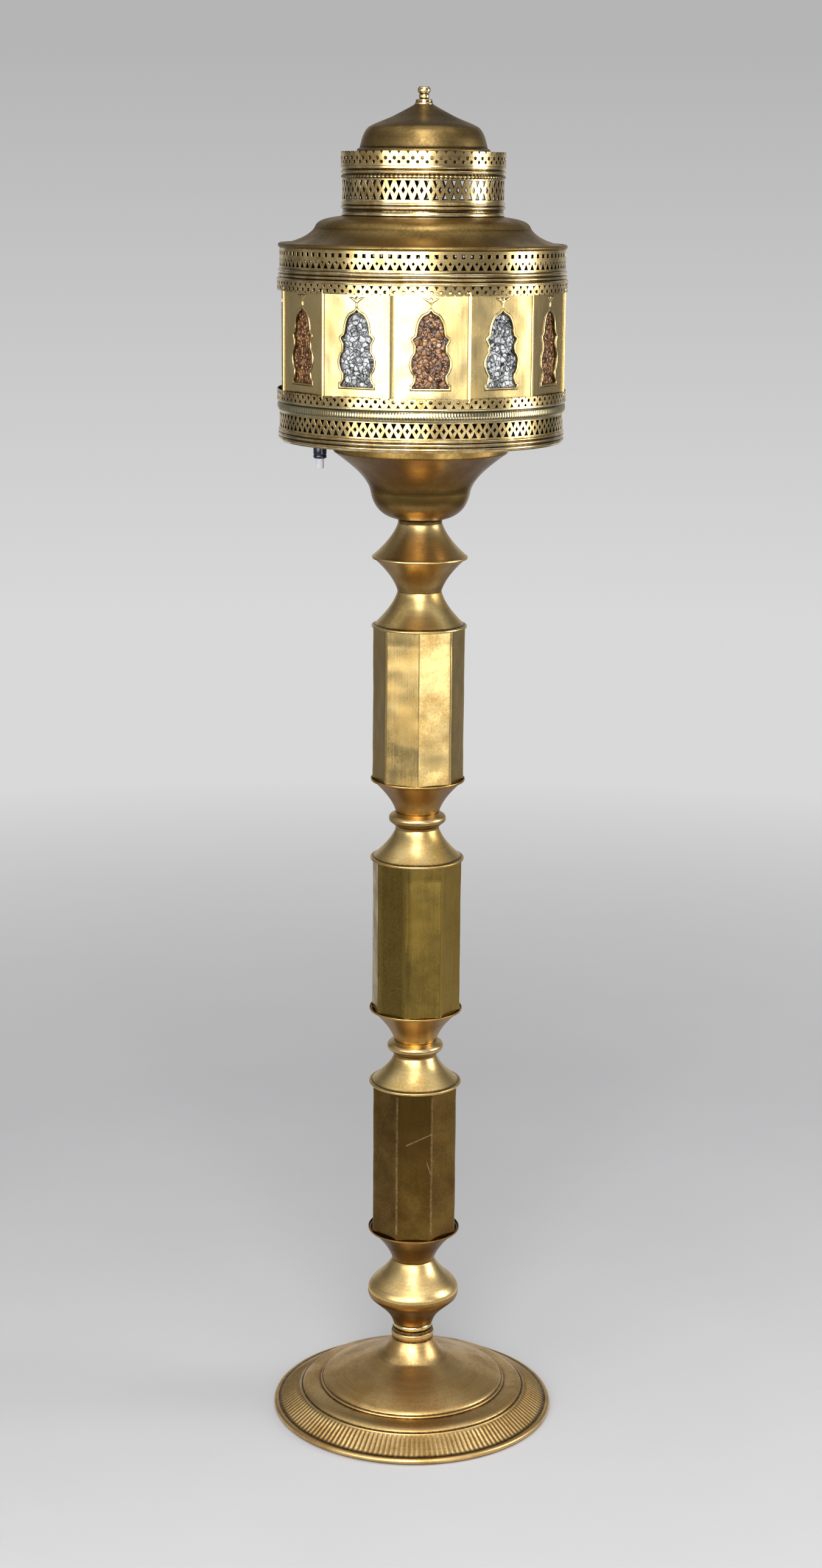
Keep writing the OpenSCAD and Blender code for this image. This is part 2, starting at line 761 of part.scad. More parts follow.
// The roof rises from its rolled rim in a hollow skirt to a rounded shoulder
module roof() {
  rim = lantern_r;
  top_r = drum_wall_r - 1;
  color(brass) translate([0, 0, z_roof])
    spun(concat([[wall_in_r - 1, 0]],
                arc([rim - 2.6, 2.6], 2.6, -70, 120),
                bezier([rim - 6, 4.4], [rim - 22, 0.21 * roof_h], [rim - 34, 0.37 * roof_h],
                       [rim - 40, 0.6 * roof_h]),
                bezier([rim - 40.6, 0.64 * roof_h], [rim - 43, 0.82 * roof_h],
                       [rim - 50, 0.9 * roof_h], [top_r + 2, roof_h - 1]),
                [[top_r, roof_h], [drum_wall_in_r - 3, roof_h]]));
}

// The drum mouldings repeat the beads of the lantern bands on a smaller radius
module drum_base() {
  h = drum_base_h;
  color(bright_brass) translate([0, 0, z_drum_base])
    turned(concat([[drum_wall_in_r, 0], [drum_wall_r, 0], [drum_wall_r, 0.16 * h],
                   [drum_wall_r - 0.8, 0.24 * h], [drum_wall_r - 0.8, 0.4 * h]],
                  bead(drum_wall_r - 0.6, 0.57 * h, 0.13 * h),
                  bead(drum_wall_r - 0.4, 0.83 * h, 0.1 * h),
                  [[drum_wall_r, 0.95 * h], [drum_wall_r, h], [drum_wall_in_r, h]]));
}

lid_seat_r = dome_r + 7;

module drum_top() {
  h = drum_top_h;
  color(bright_brass) translate([0, 0, z_drum_top])
    turned(concat([[drum_wall_in_r, 0], [drum_wall_r, 0]],
                  bead(drum_wall_r - 0.6, 0.16 * h, 0.13 * h),
                  bead(drum_wall_r - 0.6, 0.5 * h, 0.15 * h),
                  [[drum_wall_r - 0.4, 0.69 * h], [drum_r, 0.78 * h], [drum_r, h], [lid_seat_r, h],
                   [lid_seat_r, h - sheet], [drum_wall_in_r, h - sheet]]));
}

// Lid and finial ------------------------------------------------------------------

stud_r = 3;

module dome() {
  flange_r = drum_r - sheet - 3;
  color(brass) translate([0, 0, z_dome])
    spun(concat([[flange_r, sheet], [lid_seat_r + 3, sheet], [lid_seat_r + 1, 8],
                 [dome_r + 3, 15], [dome_r + 2.6, 17.5], [dome_r, 18.6]],
                bezier([dome_r - 0.6, 20.5], [0.81 * dome_r, 0.775 * dome_h],
                       [0.675 * dome_r, 0.675 * dome_h], [10.5, dome_h]),
                [[stud_r, dome_h]]));
}

module finial() {
  h = finial_h;
  color(bright_brass) translate([0, 0, z_finial]) {
    turned(concat([[0, 0], [9.2, 0], [9.8, 1], [9, 2.6], [6, 3.4], [5.2, 4.4]],
                  arc([2, 0.38 * h], 4.2, -40, 50),
                  arc([0.9, 0.72 * h], 5.8, -45, 62),
                  [[2.4, h], [0, h]]));
    translate([0, 0, -8]) cylinder(r = stud_r, h = 8, $fn = round_fn);
  }
}

// Lamp holder and bulb --------------------------------------------------------------

z_holder = z_floor + pipe_rise - 6;
holder_cap_h = 13;
z_holder_shell = z_holder + holder_cap_h;
contact_z = z_holder_shell + 12;
bulb_base_r = 13;
bulb_base_h = 26;

module holder_cap() {
  color(brass) translate([0, 0, z_holder])
    turned([[pipe_r, 0], [pipe_r + 3, 0], [holder_r, 8], [holder_r, holder_cap_h],
            [holder_r - sheet, holder_cap_h], [holder_r - sheet, 8.6], [pipe_r + 2.6, 2], [pipe_r, 2]]);
}

module holder_shell() {
  color("white") translate([0, 0, z_holder_shell]) difference() {
    cylinder(r = holder_r, h = holder_h - holder_cap_h, $fn = round_fn);
    translate([0, 0, contact_z - z_holder_shell])
      cylinder(r = bulb_base_r + fit_gap, h = holder_h, $fn = round_fn);
  }
}

module bulb_base() {
  color("silver") translate([0, 0, contact_z]) cylinder(r = bulb_base_r, h = bulb_base_h, $fn = round_fn);
}

module bulb_glass() {
  body_h = bulb_h - bulb_base_h;
  color("white") translate([0, 0, contact_z + bulb_base_h])
    spun(concat(bezier([bulb_base_r, 0], [bulb_base_r + 3, 18], [bulb_r, 20], [bulb_r, body_h - bulb_r - 1]),
                arc([0, body_h - bulb_r], bulb_r, 0, 90)));
}

// Switch --------------------------------------------------------------------------------

switch_x = bowl_rim_r + 1 + switch_gap + switch_r;
switch_neck_r = 5;
switch_neck_h = 7;
button_shoulder_r = button_r + 1;
shoulder_h = 1.6;
button_play = 0.4;

module at_switch(z) {
  translate([-switch_x, 0, z]) children();
}

module switch_body() {
  cavity_h = shoulder_h + button_travel + 2 * button_play;
  wall_h = 2;
  color("midnightblue") at_switch(z_floor - switch_h) difference() {
    union() {
      cylinder(r = switch_r, h = switch_h, $fn = round_fn);
      cylinder(r = switch_neck_r, h = switch_h + switch_neck_h, $fn = round_fn);
    }
    translate([0, 0, -1]) cylinder(r = button_r + button_play, h = wall_h + 2, $fn = round_fn);
    translate([0, 0, wall_h])
      cylinder(r = button_shoulder_r + button_play, h = cavity_h, $fn = round_fn);
  }
}

module switch_nut() {
  color("silver") at_switch(z_floor + sheet) hexagon_nut(13, 3, switch_neck_r);
}

module switch_button() {
  reach = 2 + button_play;
  color("white") at_switch(z_floor - switch_h - button_out)
    turned(concat([[0, 0]], arc([button_r - 1, 1], 1, -90, 0),
                  [[button_r, button_out + reach], [button_shoulder_r, button_out + reach],
                   [button_shoulder_r, button_out + reach + shoulder_h],
                   [0, button_out + reach + shoulder_h]]));
}

base_shell();
base_ballast();
base_felt();
base_nut();
cord_bushing();
lamp_pipe();
neck_ring();
low_knop_bottom();
low_knop_top();
low_cup();
low_tube();
low_cap();
low_collar();
mid_cup();
mid_tube();
mid_cap();
high_collar();
top_cup();
top_tube();
top_cap();
high_knop_bottom();
high_knop_top();
bowl();
lantern_floor();
floor_nut();
lower_band();
lower_gallery();
reeded_ring();
lower_trim();
for (i = [1 : sides]) panel(i);
amber_panes();
clear_panes();
upper_trim();
upper_band();
upper_gallery();
roof();
drum_base();
drum_gallery();
drum_top();
drum_crown();
dome();
finial();
holder_cap();
holder_shell();
bulb_base();
bulb_glass();
switch_body();
switch_nut();
switch_button();
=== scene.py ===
"""Finish of the brass lantern floor lamp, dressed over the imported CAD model.

Lengths in the piece code are millimetres, which mesh_piece turns into metres. Z points up and the
front of the lamp faces -Y. Each piece stands for one CAD node, and takes its place, height and main
radius from it.
"""

import math

import bmesh
import bpy
from mathutils import Matrix, Vector, noise
from mathutils.geometry import delaunay_2d_cdt


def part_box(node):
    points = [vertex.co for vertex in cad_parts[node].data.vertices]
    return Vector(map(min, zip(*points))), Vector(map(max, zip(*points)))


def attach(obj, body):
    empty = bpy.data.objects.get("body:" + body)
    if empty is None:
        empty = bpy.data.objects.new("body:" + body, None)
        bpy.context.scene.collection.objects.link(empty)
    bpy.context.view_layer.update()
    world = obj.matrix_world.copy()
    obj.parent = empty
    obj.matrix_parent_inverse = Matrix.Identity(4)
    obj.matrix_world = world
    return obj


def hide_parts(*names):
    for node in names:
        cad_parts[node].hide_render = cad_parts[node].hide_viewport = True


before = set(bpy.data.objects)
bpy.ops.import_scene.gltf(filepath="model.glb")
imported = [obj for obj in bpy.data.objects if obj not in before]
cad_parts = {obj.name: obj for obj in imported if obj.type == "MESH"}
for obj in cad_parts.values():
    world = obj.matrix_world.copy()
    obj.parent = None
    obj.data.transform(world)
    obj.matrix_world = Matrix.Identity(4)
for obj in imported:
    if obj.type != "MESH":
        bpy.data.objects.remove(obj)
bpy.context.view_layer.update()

MM = 0.001
SHEET = 1.0  # thickness of the brass sheet
SIDES = 12  # of the lantern
HALF_SIDE = math.radians(180 / SIDES)
LANTERN_TURN = 3.5  # degrees that its first side is turned from the front
LANTERN_REPEATS = 102  # of the pattern round the lantern's galleries and trims
DRUM_REPEATS = 56
FLUTES = 160  # round the base
REEDS = 312  # round the ring that the panels stand in
NOTCHES = 112  # round the top of the drum


# ---- Frame ----

def foot(node):
    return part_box(node)[0].z / MM


def head(node):
    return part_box(node)[1].z / MM


def tall(node):
    return head(node) - foot(node)


def reach(node):
    """Outer radius of a node that turns about the axis."""
    low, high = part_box(node)
    return max(high.x, high.y, -low.x, -low.y) / MM


# ---- Outlines, as (radius, height) pairs ----

def lerp(a, b, t):
    return (a[0] + (b[0] - a[0]) * t, a[1] + (b[1] - a[1]) * t)


def bezier(a, b, c, d, steps=18):
    points = []
    for i in range(steps + 1):
        t = i / steps
        ab, bc, cd = lerp(a, b, t), lerp(b, c, t), lerp(c, d, t)
        points.append(lerp(lerp(ab, bc, t), lerp(bc, cd, t), t))
    return points


def arc(centre, radius, start, end, steps=8):
    angles = [math.radians(start + (end - start) * i / steps) for i in range(steps + 1)]
    return [(centre[0] + radius * math.cos(a), centre[1] + radius * math.sin(a)) for a in angles]


def bead(radius, z, half):
    """A half-round bead on a wall."""
    return arc((radius, z), half, -80, 80, 6)


def raised(points, z):
    return [(r, y + z) for r, y in points]


def flipped(points, z):
    """The outline upside down, hanging from height z."""
    return [(r, z - y) for r, y in reversed(points)]


def left_of(a, b):
    dx, dy = b[0] - a[0], b[1] - a[1]
    size = math.hypot(dx, dy) or 1.0
    return (-dy / size, dx / size)


def moved_left(points, t):
    """The open outline moved to its left by t, its two ends kept in their own planes."""
    last = len(points) - 1
    moved = []
    for i, p in enumerate(points):
        before = left_of(points[max(i - 1, 0)], points[max(i, 1)])
        after = left_of(points[min(i, last - 1)], points[min(i + 1, last)])
        if i in (0, last):
            side = before if i else after
            shift = (t / side[0], 0) if abs(side[0]) > abs(side[1]) else (0, t / side[1])
        else:
            mx, my = before[0] + after[0], before[1] + after[1]
            size = math.hypot(mx, my)
            mx, my = mx / size, my / size
            stretch = t / max(mx * before[0] + my * before[1], 0.3)
            shift = (mx * stretch, my * stretch)
        moved.append((p[0] + shift[0], p[1] + shift[1]))
    return moved


def eased(points, radius=0.45):
    """The closed outline with its sharp corners rounded."""
    result = []
    count = len(points)
    for i, p in enumerate(points):
        a, b = points[i - 1], points[(i + 1) % count]
        la, lb = math.dist(a, p), math.dist(p, b)
        if la < 1e-6 or lb < 1e-6:
            continue
        turn = math.acos(max(-1, min(1, ((p[0] - a[0]) * (b[0] - p[0])
                                         + (p[1] - a[1]) * (b[1] - p[1])) / la / lb)))
        if turn < math.radians(32):
            result.append(p)
            continue
        p1 = lerp(p, a, min(radius, 0.45 * la) / la)
        p2 = lerp(p, b, min(radius, 0.45 * lb) / lb)
        result += [p1, ((p1[0] + 2 * p[0] + p2[0]) / 4, (p1[1] + 2 * p[1] + p2[1]) / 4), p2]
    return result


def shell(outline):
    """A sheet section, closed, from its outer outline; the inside is on the left of the outline."""
    return outline + moved_left(outline, SHEET)[::-1]


def fine(outline, step=1.3):
    """The closed outline with points near the ends of each long side, to keep the painted shade in the
    corners.
    """
    result = []
    for i, p in enumerate(outline):
        q = outline[(i + 1) % len(outline)]
        size = math.dist(p, q)
        result.append(p)
        if size > 3 * step:
            result += [lerp(p, q, step / size), lerp(p, q, 1 - step / size)]
    return result


def groove_shade(outline, span=2.2):
    """How deep each point of the closed outline lies in a groove or at a joint, from 0 to 1, as painted
    shade.
    """
    count = len(outline)
    low, high = min(z for _, z in outline), max(z for _, z in outline)

    def along(i, way):
        left = span
        while True:
            a, b = outline[i % count], outline[(i + way) % count]
            size = math.dist(a, b)
            if size >= left:
                return lerp(a, b, left / size)
            left, i = left - size, i + way

    values = []
    for i, p in enumerate(outline):
        a, b = along(i, -1), along(i, 1)
        side = left_of(a, b)
        depth = (p[0] - a[0]) * side[0] + (p[1] - a[1]) * side[1]
        clean_rim = 45 < p[0] < 60  # of the cups and caps
        joint = 0.75 if min(p[1] - low, high - p[1]) < 0.3 and not clean_rim else 0
        values.append(max(0.0, min(1.0, depth / 0.5), joint))
    return values


# ---- Meshes ----

def link(thing):
    bpy.context.scene.collection.objects.link(thing)


def mesh_piece(name, node, points, faces, finish, body="lamp", crease=38, shade_and_grime=None):
    """The piece that stands for a CAD node, from points in millimetres; shade_and_grime is how much
    painted shade and soiling each point gets.
    """
    mesh = bpy.data.meshes.new(name)
    mesh.from_pydata([Vector(p) * MM for p in points], [], faces)
    # per-point painted shade in grooves, joints, holes and seams, with some soiling
    if shade_and_grime:
        mesh.attributes.new("shade_and_grime", "FLOAT", "POINT").data.foreach_set("value", shade_and_grime)
    bm = bmesh.new()
    bm.from_mesh(mesh)
    bmesh.ops.remove_doubles(bm, verts=bm.verts, dist=1e-6)
    bmesh.ops.recalc_face_normals(bm, faces=bm.faces)
    bm.to_mesh(mesh)
    bm.free()
    mesh.shade_smooth()
    mesh.set_sharp_from_angle(angle=math.radians(crease))
    piece = bpy.data.objects.new(name, mesh)
    link(piece)
    mesh.materials.append(finish)
    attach(piece, body)
    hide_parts(node)


def lathe_mesh(outline, segments):
    """Points and faces of a closed outline turned about the axis."""
    points, faces = [], []
    count = len(outline)
    for i in range(segments):
        angle = 2 * math.pi * i / segments
        points += [(r * math.cos(angle), r * math.sin(angle), z) for r, z in outline]
    for i in range(segments):
        here, there = i * count, (i + 1) % segments * count
        for j in range(count):
            k = (j + 1) % count
            if outline[j][0] > 1e-6 or outline[k][0] > 1e-6:
                faces.append((here + j, there + j, there + k, here + k))
    return points, faces


def turned(name, node, outline, finish, segments=144, **rest):
    """A solid turned part; the heights of its outline start from the foot of the node."""
    outline = fine(eased(raised(outline, foot(node))))
    points, faces = lathe_mesh(outline, segments)
    mesh_piece(name, node, points, faces, finish, shade_and_grime=groove_shade(outline) * segments, **rest)


def spun(name, node, outline, finish, **rest):
    """A part spun from sheet, from its outer outline."""
    turned(name, node, shell(outline), finish, **rest)


def carved(name, node, outline, finish, segments, carve):
    """A turned part with a pattern cut in: carve gives a point's scale from the axis, lift and painted
    shade.
    """
    points, faces = lathe_mesh(outline, segments)
    shade_and_grime = groove_shade(outline) * segments
    for i, (x, y, z) in enumerate(points):
        scale, lift, shade_and_dirt = carve(math.hypot(x, y), math.atan2(y, x), z)
        points[i] = (x * scale, y * scale, z + lift)
        shade_and_grime[i] = max(shade_and_grime[i], shade_and_dirt)
    mesh_piece(name, node, points, faces, finish, shade_and_grime=shade_and_grime)


# ---- Pierced sheet ----

def grown(loop, by):
    """The closed loop, counterclockwise, moved outward at mitred corners."""
    result = []
    for i, p in enumerate(loop):
        before, after = left_of(loop[i - 1], p), left_of(p, loop[(i + 1) % len(loop)])
        mx, my = before[0] + after[0], before[1] + after[1]
        stretch = 2 * by / max(mx * mx + my * my, 0.6)
        result.append((p[0] - mx * stretch, p[1] - my * stretch))
    return result


def inside(point, loop):
    x, y = point
    hit = False
    for i, (bx, by) in enumerate(loop):
        ax, ay = loop[i - 1]
        if (ay > y) != (by > y) and x < ax + (y - ay) / (by - ay) * (bx - ax):
            hit = not hit
    return hit


def triangles(edge, holes, extra=()):
    """Triangles that fill the edge loop and leave the holes open; extra are loose points inside it."""
    points, edges = [], []
    for loop in [edge, *holes]:
        start = len(points)
        points += [Vector(p) for p in loop]
        edges += [(start + i, start + (i + 1) % len(loop)) for i in range(len(loop))]
    points += [Vector(p) for p in extra]
    points, _, faces = delaunay_2d_cdt(points, edges, [], 0, 1e-5)[:3]
    for face in faces:
        corners = [tuple(points[i]) for i in face]
        middle = (sum(c[0] for c in corners) / 3, sum(c[1] for c in corners) / 3)
        if inside(middle, edge) and not any(inside(middle, hole) for hole in holes):
            yield corners


def bands(*rings):
    """Quads between each closed loop and the next, which has as many points."""
    return [[near[i - 1], near[i], far[i], far[i - 1]] for near, far in zip(rings, rings[1:])
            for i in range(len(near))]


def at_depth(loop, depth, shade_and_grime=0.0):
    return [(x, y, depth, shade_and_grime) for x, y in loop]


def pierced_cell(width, seam, top, holes):
    """Flat polygons, (x, height, depth, shade_and_grime), of one repeat of a pierced strip with softened
    holes.

    seam is its left side, upward, and top holds the points between the tops of its sides.
    """
    soft = 0.3
    border = soft + 0.25
    base, right = (0, 0), [(x + width, y) for x, y in seam]
    edge = [seam[0], base, *right, *reversed(top), *reversed(seam[1:])]
    polygons = [at_depth(t, 0) for t in triangles(edge, [grown(h, border) for h in holes])]
    polygons += [at_depth(t, SHEET) for t in triangles(edge, holes)]
    for hole in holes:
        # the rims and walls of the holes get painted shade, with some tarnish round them
        polygons += bands(at_depth(grown(hole, border), 0), at_depth(grown(hole, soft), 0, 0.7),
                          at_depth(hole, soft, 0.9), at_depth(hole, SHEET, 1))
    for chain in ([seam[0], base, right[0]], [seam[-1], *top, right[-1]]):
        for a, b in zip(chain, chain[1:]):
            polygons.append([*at_depth([a, b], 0), *at_depth([b, a], SHEET, 1)])
    return polygons


def indexed(polygons):
    """Points, faces and the painted shade and soiling of each point, from polygons given by their corners.
    """
    number, faces, shade_and_grime = {}, [], []
    for polygon in polygons:
        faces.append([])
        for *place, shade_and_dirt in polygon:
            index = number.setdefault(tuple(round(v, 5) for v in place), len(number))
            if index == len(shade_and_grime):
                shade_and_grime.append(shade_and_dirt)
            shade_and_grime[index] = max(shade_and_grime[index], shade_and_dirt)
            faces[-1].append(index)
    return list(number), faces, shade_and_grime


def pierced_ring(node, radius, polygons, repeats, shift):
    """Bends a flat cell to a cylinder and repeats it round the axis.

    shift is how far the first repeat stands from the front of the lamp, in repeats.
    """
    corners, cell_faces, shade_and_grime = indexed(polygons)
    low, high, hanging = foot(node), head(node), node == "upper_trim"
    points, faces = [], []
    for i in range(repeats):
        first = 2 * math.pi * (i + shift) / repeats - math.pi / 2
        start = len(points)
        for x, y, depth in corners:
            r, angle = radius - depth, first + x / radius
            points.append((r * math.cos(angle), r * math.sin(angle), high - y if hanging else low + y))
        faces += [[start + v for v in face] for face in cell_faces]
    mesh_piece("bright_" + node, node, points, faces, pierced_brass, crease=30, shade_and_grime=shade_and_grime * repeats)


def triangle(x, half, level, point):
    corners = [(x - half, level), (x + half, level), (x, point)]
    return corners if point > level else corners[::-1]


def diamond(x, half, low, high):
    middle = (low + high) / 2
    return [(x, low), (x + half, middle), (x, high), (x - half, middle)]


def round_hole(x, y, radius, aspect, steps=10):
    angles = [2 * math.pi * i / steps for i in range(steps)]
    return [(x + radius * math.cos(a), y + radius * aspect * math.sin(a)) for a in angles]


def pattern(kind, aspect):
    """Holes, left side and top points of one repeat, in shares of its width and height.

    The left side passes between the holes of two repeats. aspect is the width by the height.
    """
    if kind == "lattice":
        return ([triangle(0, 0.29, 0.1, 0.42), triangle(0, 0.28, 0.93, 0.61),
                 diamond(0.5, 0.19, 0.37, 0.66)],
                [(-0.5, 0), (-0.5, 0.13), (-0.2, 0.51), (-0.5, 0.9), (-0.5, 1)], [(0, 1)])
    if kind == "squares":
        return ([[(-0.19, 0.65), (0.19, 0.65), (0.19, 0.83), (-0.19, 0.83)], triangle(0, 0.28, 0.06, 0.34),
                 diamond(0.5, 0.15, 0.29, 0.45)],
                [(-0.5, 0), (-0.5, 0.06), (-0.24, 0.37), (-0.5, 0.6), (-0.5, 1)], [(0, 1)])
    if kind == "trim":
        return ([round_hole(0, 0.67, 0.175, aspect), triangle(0.5, 0.18, 0.1, 0.4)],
                [(-0.5, 0), (-0.24, 0.1), (-0.24, 0.3), (-0.5, 0.52), (-0.5, 0.8)],
                [(-0.38, 1), (0, 1), (0.38, 1)])
    return ([round_hole(0, 0.25, 0.16, aspect), round_hole(0.5, 0.52, 0.18, aspect)],
            [(-0.5, 0), (-0.5, 0.25), (-0.25, 0.45), (-0.25, 0.6), (-0.5, 0.78), (-0.5, 1)],
            [(-0.18, 1), (0, 0.78), (0.18, 1)])


# ---- Materials ----

TOOL_LINES = 700.0  # a metre


def plug(tree, node, sockets):
    """Links or sets the sockets of a node; a colour is an (r, g, b) tuple."""
    for key, value in sockets.items():
        socket = node.inputs[key]
        if isinstance(value, bpy.types.NodeSocket):
            tree.links.new(value, socket)
        else:
            socket.default_value = (*value, 1.0) if socket.type == "RGBA" else value


def put(tree, kind, sockets=None, **settings):
    node = tree.nodes.new("ShaderNode" + kind)
    for key, value in settings.items():
        setattr(node, key, value)
    plug(tree, node, sockets or {})
    return node


def calc(tree, operation, a, b=0.0):
    return put(tree, "Math", {0: a, 1: b}, operation=operation).outputs[0]


def times(tree, a, b):
    return calc(tree, "MULTIPLY", a, b)


def vector(tree, operation, a, b=(0, 0, 0)):
    scalar = operation in ("DOT_PRODUCT", "LENGTH", "DISTANCE")
    return put(tree, "VectorMath", {0: a, 1: b}, operation=operation).outputs[int(scalar)]


def parts(tree, whole):
    return put(tree, "SeparateXYZ", {0: whole}).outputs


def remap(tree, value, low, high, to_low=0.0, to_high=1.0):
    return put(tree, "MapRange", {0: value, 1: low, 2: high, 3: to_low, 4: to_high}).outputs[0]


def mix(tree, factor, a, b, blend="MIX"):
    return put(tree, "Mix", {0: factor, 6: a, 7: b}, data_type="RGBA", blend_type=blend).outputs[2]


def grain(tree, place, scale, detail=3.0, distortion=0.0):
    return put(tree, "TexNoise", {"Vector": place, "Scale": scale, "Detail": detail,
                                  "Distortion": distortion, "Roughness": 0.55}).outputs[0]


def shade_and_grime_of(tree):
    return put(tree, "Attribute", attribute_name="shade_and_grime").outputs["Fac"]


def relief(tree, strength, distance, height):
    return put(tree, "Bump", {"Strength": strength, "Distance": distance, "Height": height}).outputs[0]


def new_material(name):
    material = bpy.data.materials.new(name)
    material.use_nodes = True
    tree = material.node_tree
    place = put(tree, "TexCoord").outputs["Object"]
    return material, tree, tree.nodes["Principled BSDF"], place


def spun_lines(tree, place):
    """Noise drawn out round the axis, as the tool leaves it on spun sheet."""
    flat = vector(tree, "MULTIPLY", place, (1, 1, 0))
    x, y, _ = parts(tree, vector(tree, "NORMALIZE", flat))
    along = put(tree, "CombineXYZ", {0: times(tree, vector(tree, "LENGTH", flat), TOOL_LINES),
                                     1: times(tree, x, 1.5), 2: times(tree, y, 1.5)}).outputs[0]
    height = times(tree, parts(tree, place)[2], TOOL_LINES)
    return put(tree, "TexNoise", {"Vector": along, "W": height, "Scale": 1.0, "Detail": 2.0},
               noise_dimensions="4D").outputs[0]


def drawn_lines(tree, place):
    """Noise drawn out upward, as on rolled sheet that was rubbed lengthwise."""
    return grain(tree, vector(tree, "MULTIPLY", place, (1, 1, 0.03)), TOOL_LINES, 2.0)


def inward(tree, place, start, end):
    """1 on faces that look toward the axis, as only the inside of hollow parts does, from end on."""
    away = vector(tree, "NORMALIZE", vector(tree, "MULTIPLY", place, (1, 1, 0)))
    normal = put(tree, "NewGeometry").outputs["Normal"]
    return remap(tree, vector(tree, "DOT_PRODUCT", away, normal), start, end)


def scratch(tree, place, start, end, half):
    """1 along a line on the front of the lamp, from start to end, as (x, height) in millimetres."""
    a, b = (Vector((x, 0, z)) * MM for x, z in (start, end))
    way = b - a
    off = vector(tree, "SUBTRACT", vector(tree, "MULTIPLY", place, (1, 0, 1)), a)
    along = remap(tree, vector(tree, "DOT_PRODUCT", off, way / way.length_squared), 0.0, 1.0)
    gap = vector(tree, "DISTANCE", off, vector(tree, "MULTIPLY", along, way))
    front = remap(tree, parts(tree, place)[1], -0.03, -0.04)
    return times(tree, remap(tree, gap, half * MM, 0.4 * half * MM), front)


def brass(name, light, dark, underside_shade_colour=None, lines=spun_lines, rough=(0.28, 0.4), blotch=24.0,
          tarnish=(0.42, 0.62), streaks=0.1, dents=0.0, pits=0.3, hollow=(-0.35, -0.65),
          covered=None, anisotropy=0.0, scratches=()):
    """Aged brass: two tones in blotches, tool lines, small pits, and painted shade on insides and
    undersides.

    hollow is how far a face turns away from the axis where its painted shade and oxide start and where
    they are full, and covered is the lowest and highest height, in millimetres, that no other strip
    covers; outside that span the panel gets painted shade and tarnish.
    """
    material, tree, shader, place = new_material(name)
    line = lines(tree, place)
    blot = grain(tree, place, blotch, 5.0, 0.3)
    fleck = grain(tree, place, blotch * 14, 3.0)
    share = remap(tree, calc(tree, "ADD", times(tree, blot, 0.72), times(tree, fleck, 0.28)), *tarnish)
    streak = remap(tree, line, 0.3, 0.7, 1.0 - streaks, 1.0 + streaks * 0.4)
    tone = put(tree, "CombineColor", {0: streak, 1: streak, 2: streak}).outputs[0]
    colour = mix(tree, 1.0, mix(tree, share, light, dark), tone, "MULTIPLY")
    # painted shade on undersides: downward faces turn to a darker, redder colour
    if underside_shade_colour:
        upward = parts(tree, put(tree, "NewGeometry").outputs["Normal"])[2]
        painted_underside_share = times(tree, remap(tree, upward, 0.0, -0.6), remap(tree, blot, 0.3, 0.6, 0.7, 1.0))
        colour = mix(tree, painted_underside_share, colour, underside_shade_colour)
    pitted = remap(tree, grain(tree, place, 900.0, 2.0), 0.66, 0.72, 0.0, pits)
    colour = mix(tree, pitted, colour, (dark[0] * 0.4, dark[1] * 0.35, dark[2] * 0.3))
    # painted shade, with some soiling, in grooves, joints, holes and seams, from the point attribute
    painted_groove_shade = times(tree, shade_and_grime_of(tree), remap(tree, fleck, 0.3, 0.6, 0.7, 0.95))
    colour = mix(tree, painted_groove_shade, colour, SHADE_AND_GRIME_COLOUR)
    # painted shade and tarnish on the panel where the trims cover it
    if covered:
        low, high = covered
        height = parts(tree, place)[2]
        trim_shade_low = remap(tree, height, (low - 1.5) * MM, low * MM, 1.0, 0.0)
        trim_shade_high = remap(tree, height, high * MM, (high + 1.5) * MM)
        colour = mix(tree, calc(tree, "MAXIMUM", trim_shade_low, trim_shade_high), colour, SHADE_AND_GRIME_COLOUR)
    # painted shade, with some oxide, on faces that look toward the axis
    colour = mix(tree, inward(tree, place, *hollow), colour, SHADE_AND_GRIME_COLOUR)
    for start, end, half, strength in scratches:
        mark = times(tree, scratch(tree, place, start, end, half),
                     remap(tree, fleck, 0.35, 0.6, strength, 0.35 * strength))
        colour = mix(tree, mark, colour, (0.72, 0.50, 0.26))
    gloss = calc(tree, "ADD", times(tree, share, 0.6), times(tree, line, 0.4))
    height = times(tree, line, 0.00012)
    if dents:
        height = calc(tree, "ADD", height, times(tree, grain(tree, place, 55.0, 2.0, 0.4), dents * MM))
    if anisotropy:
        tangent = put(tree, "Tangent", direction_type="RADIAL", axis="Z").outputs[0]
        plug(tree, shader, {"Anisotropic": anisotropy, "Tangent": tangent})
    plug(tree, shader, {"Metallic": 1.0, "Base Color": colour, "Normal": relief(tree, 0.1, 1.0, height),
                        "Roughness": remap(tree, gloss, 0.2, 0.8, *rough)})
    return material


def plain(name, light, dark, rough, metallic=0.0, scale=260.0, bump=0.1, coat=0.0):
    """A non-brass finish: two tones in a fine grain, with a little relief."""
    material, tree, shader, place = new_material(name)
    speck = grain(tree, place, scale, 4.0)
    plug(tree, shader, {"Base Color": mix(tree, remap(tree, speck, 0.35, 0.65), light, dark),
                        "Roughness": remap(tree, speck, 0.3, 0.7, rough * 0.8, rough * 1.2),
                        "Normal": relief(tree, bump, 0.0004, speck), "Metallic": metallic,
                        "Coat Weight": coat})
    return material


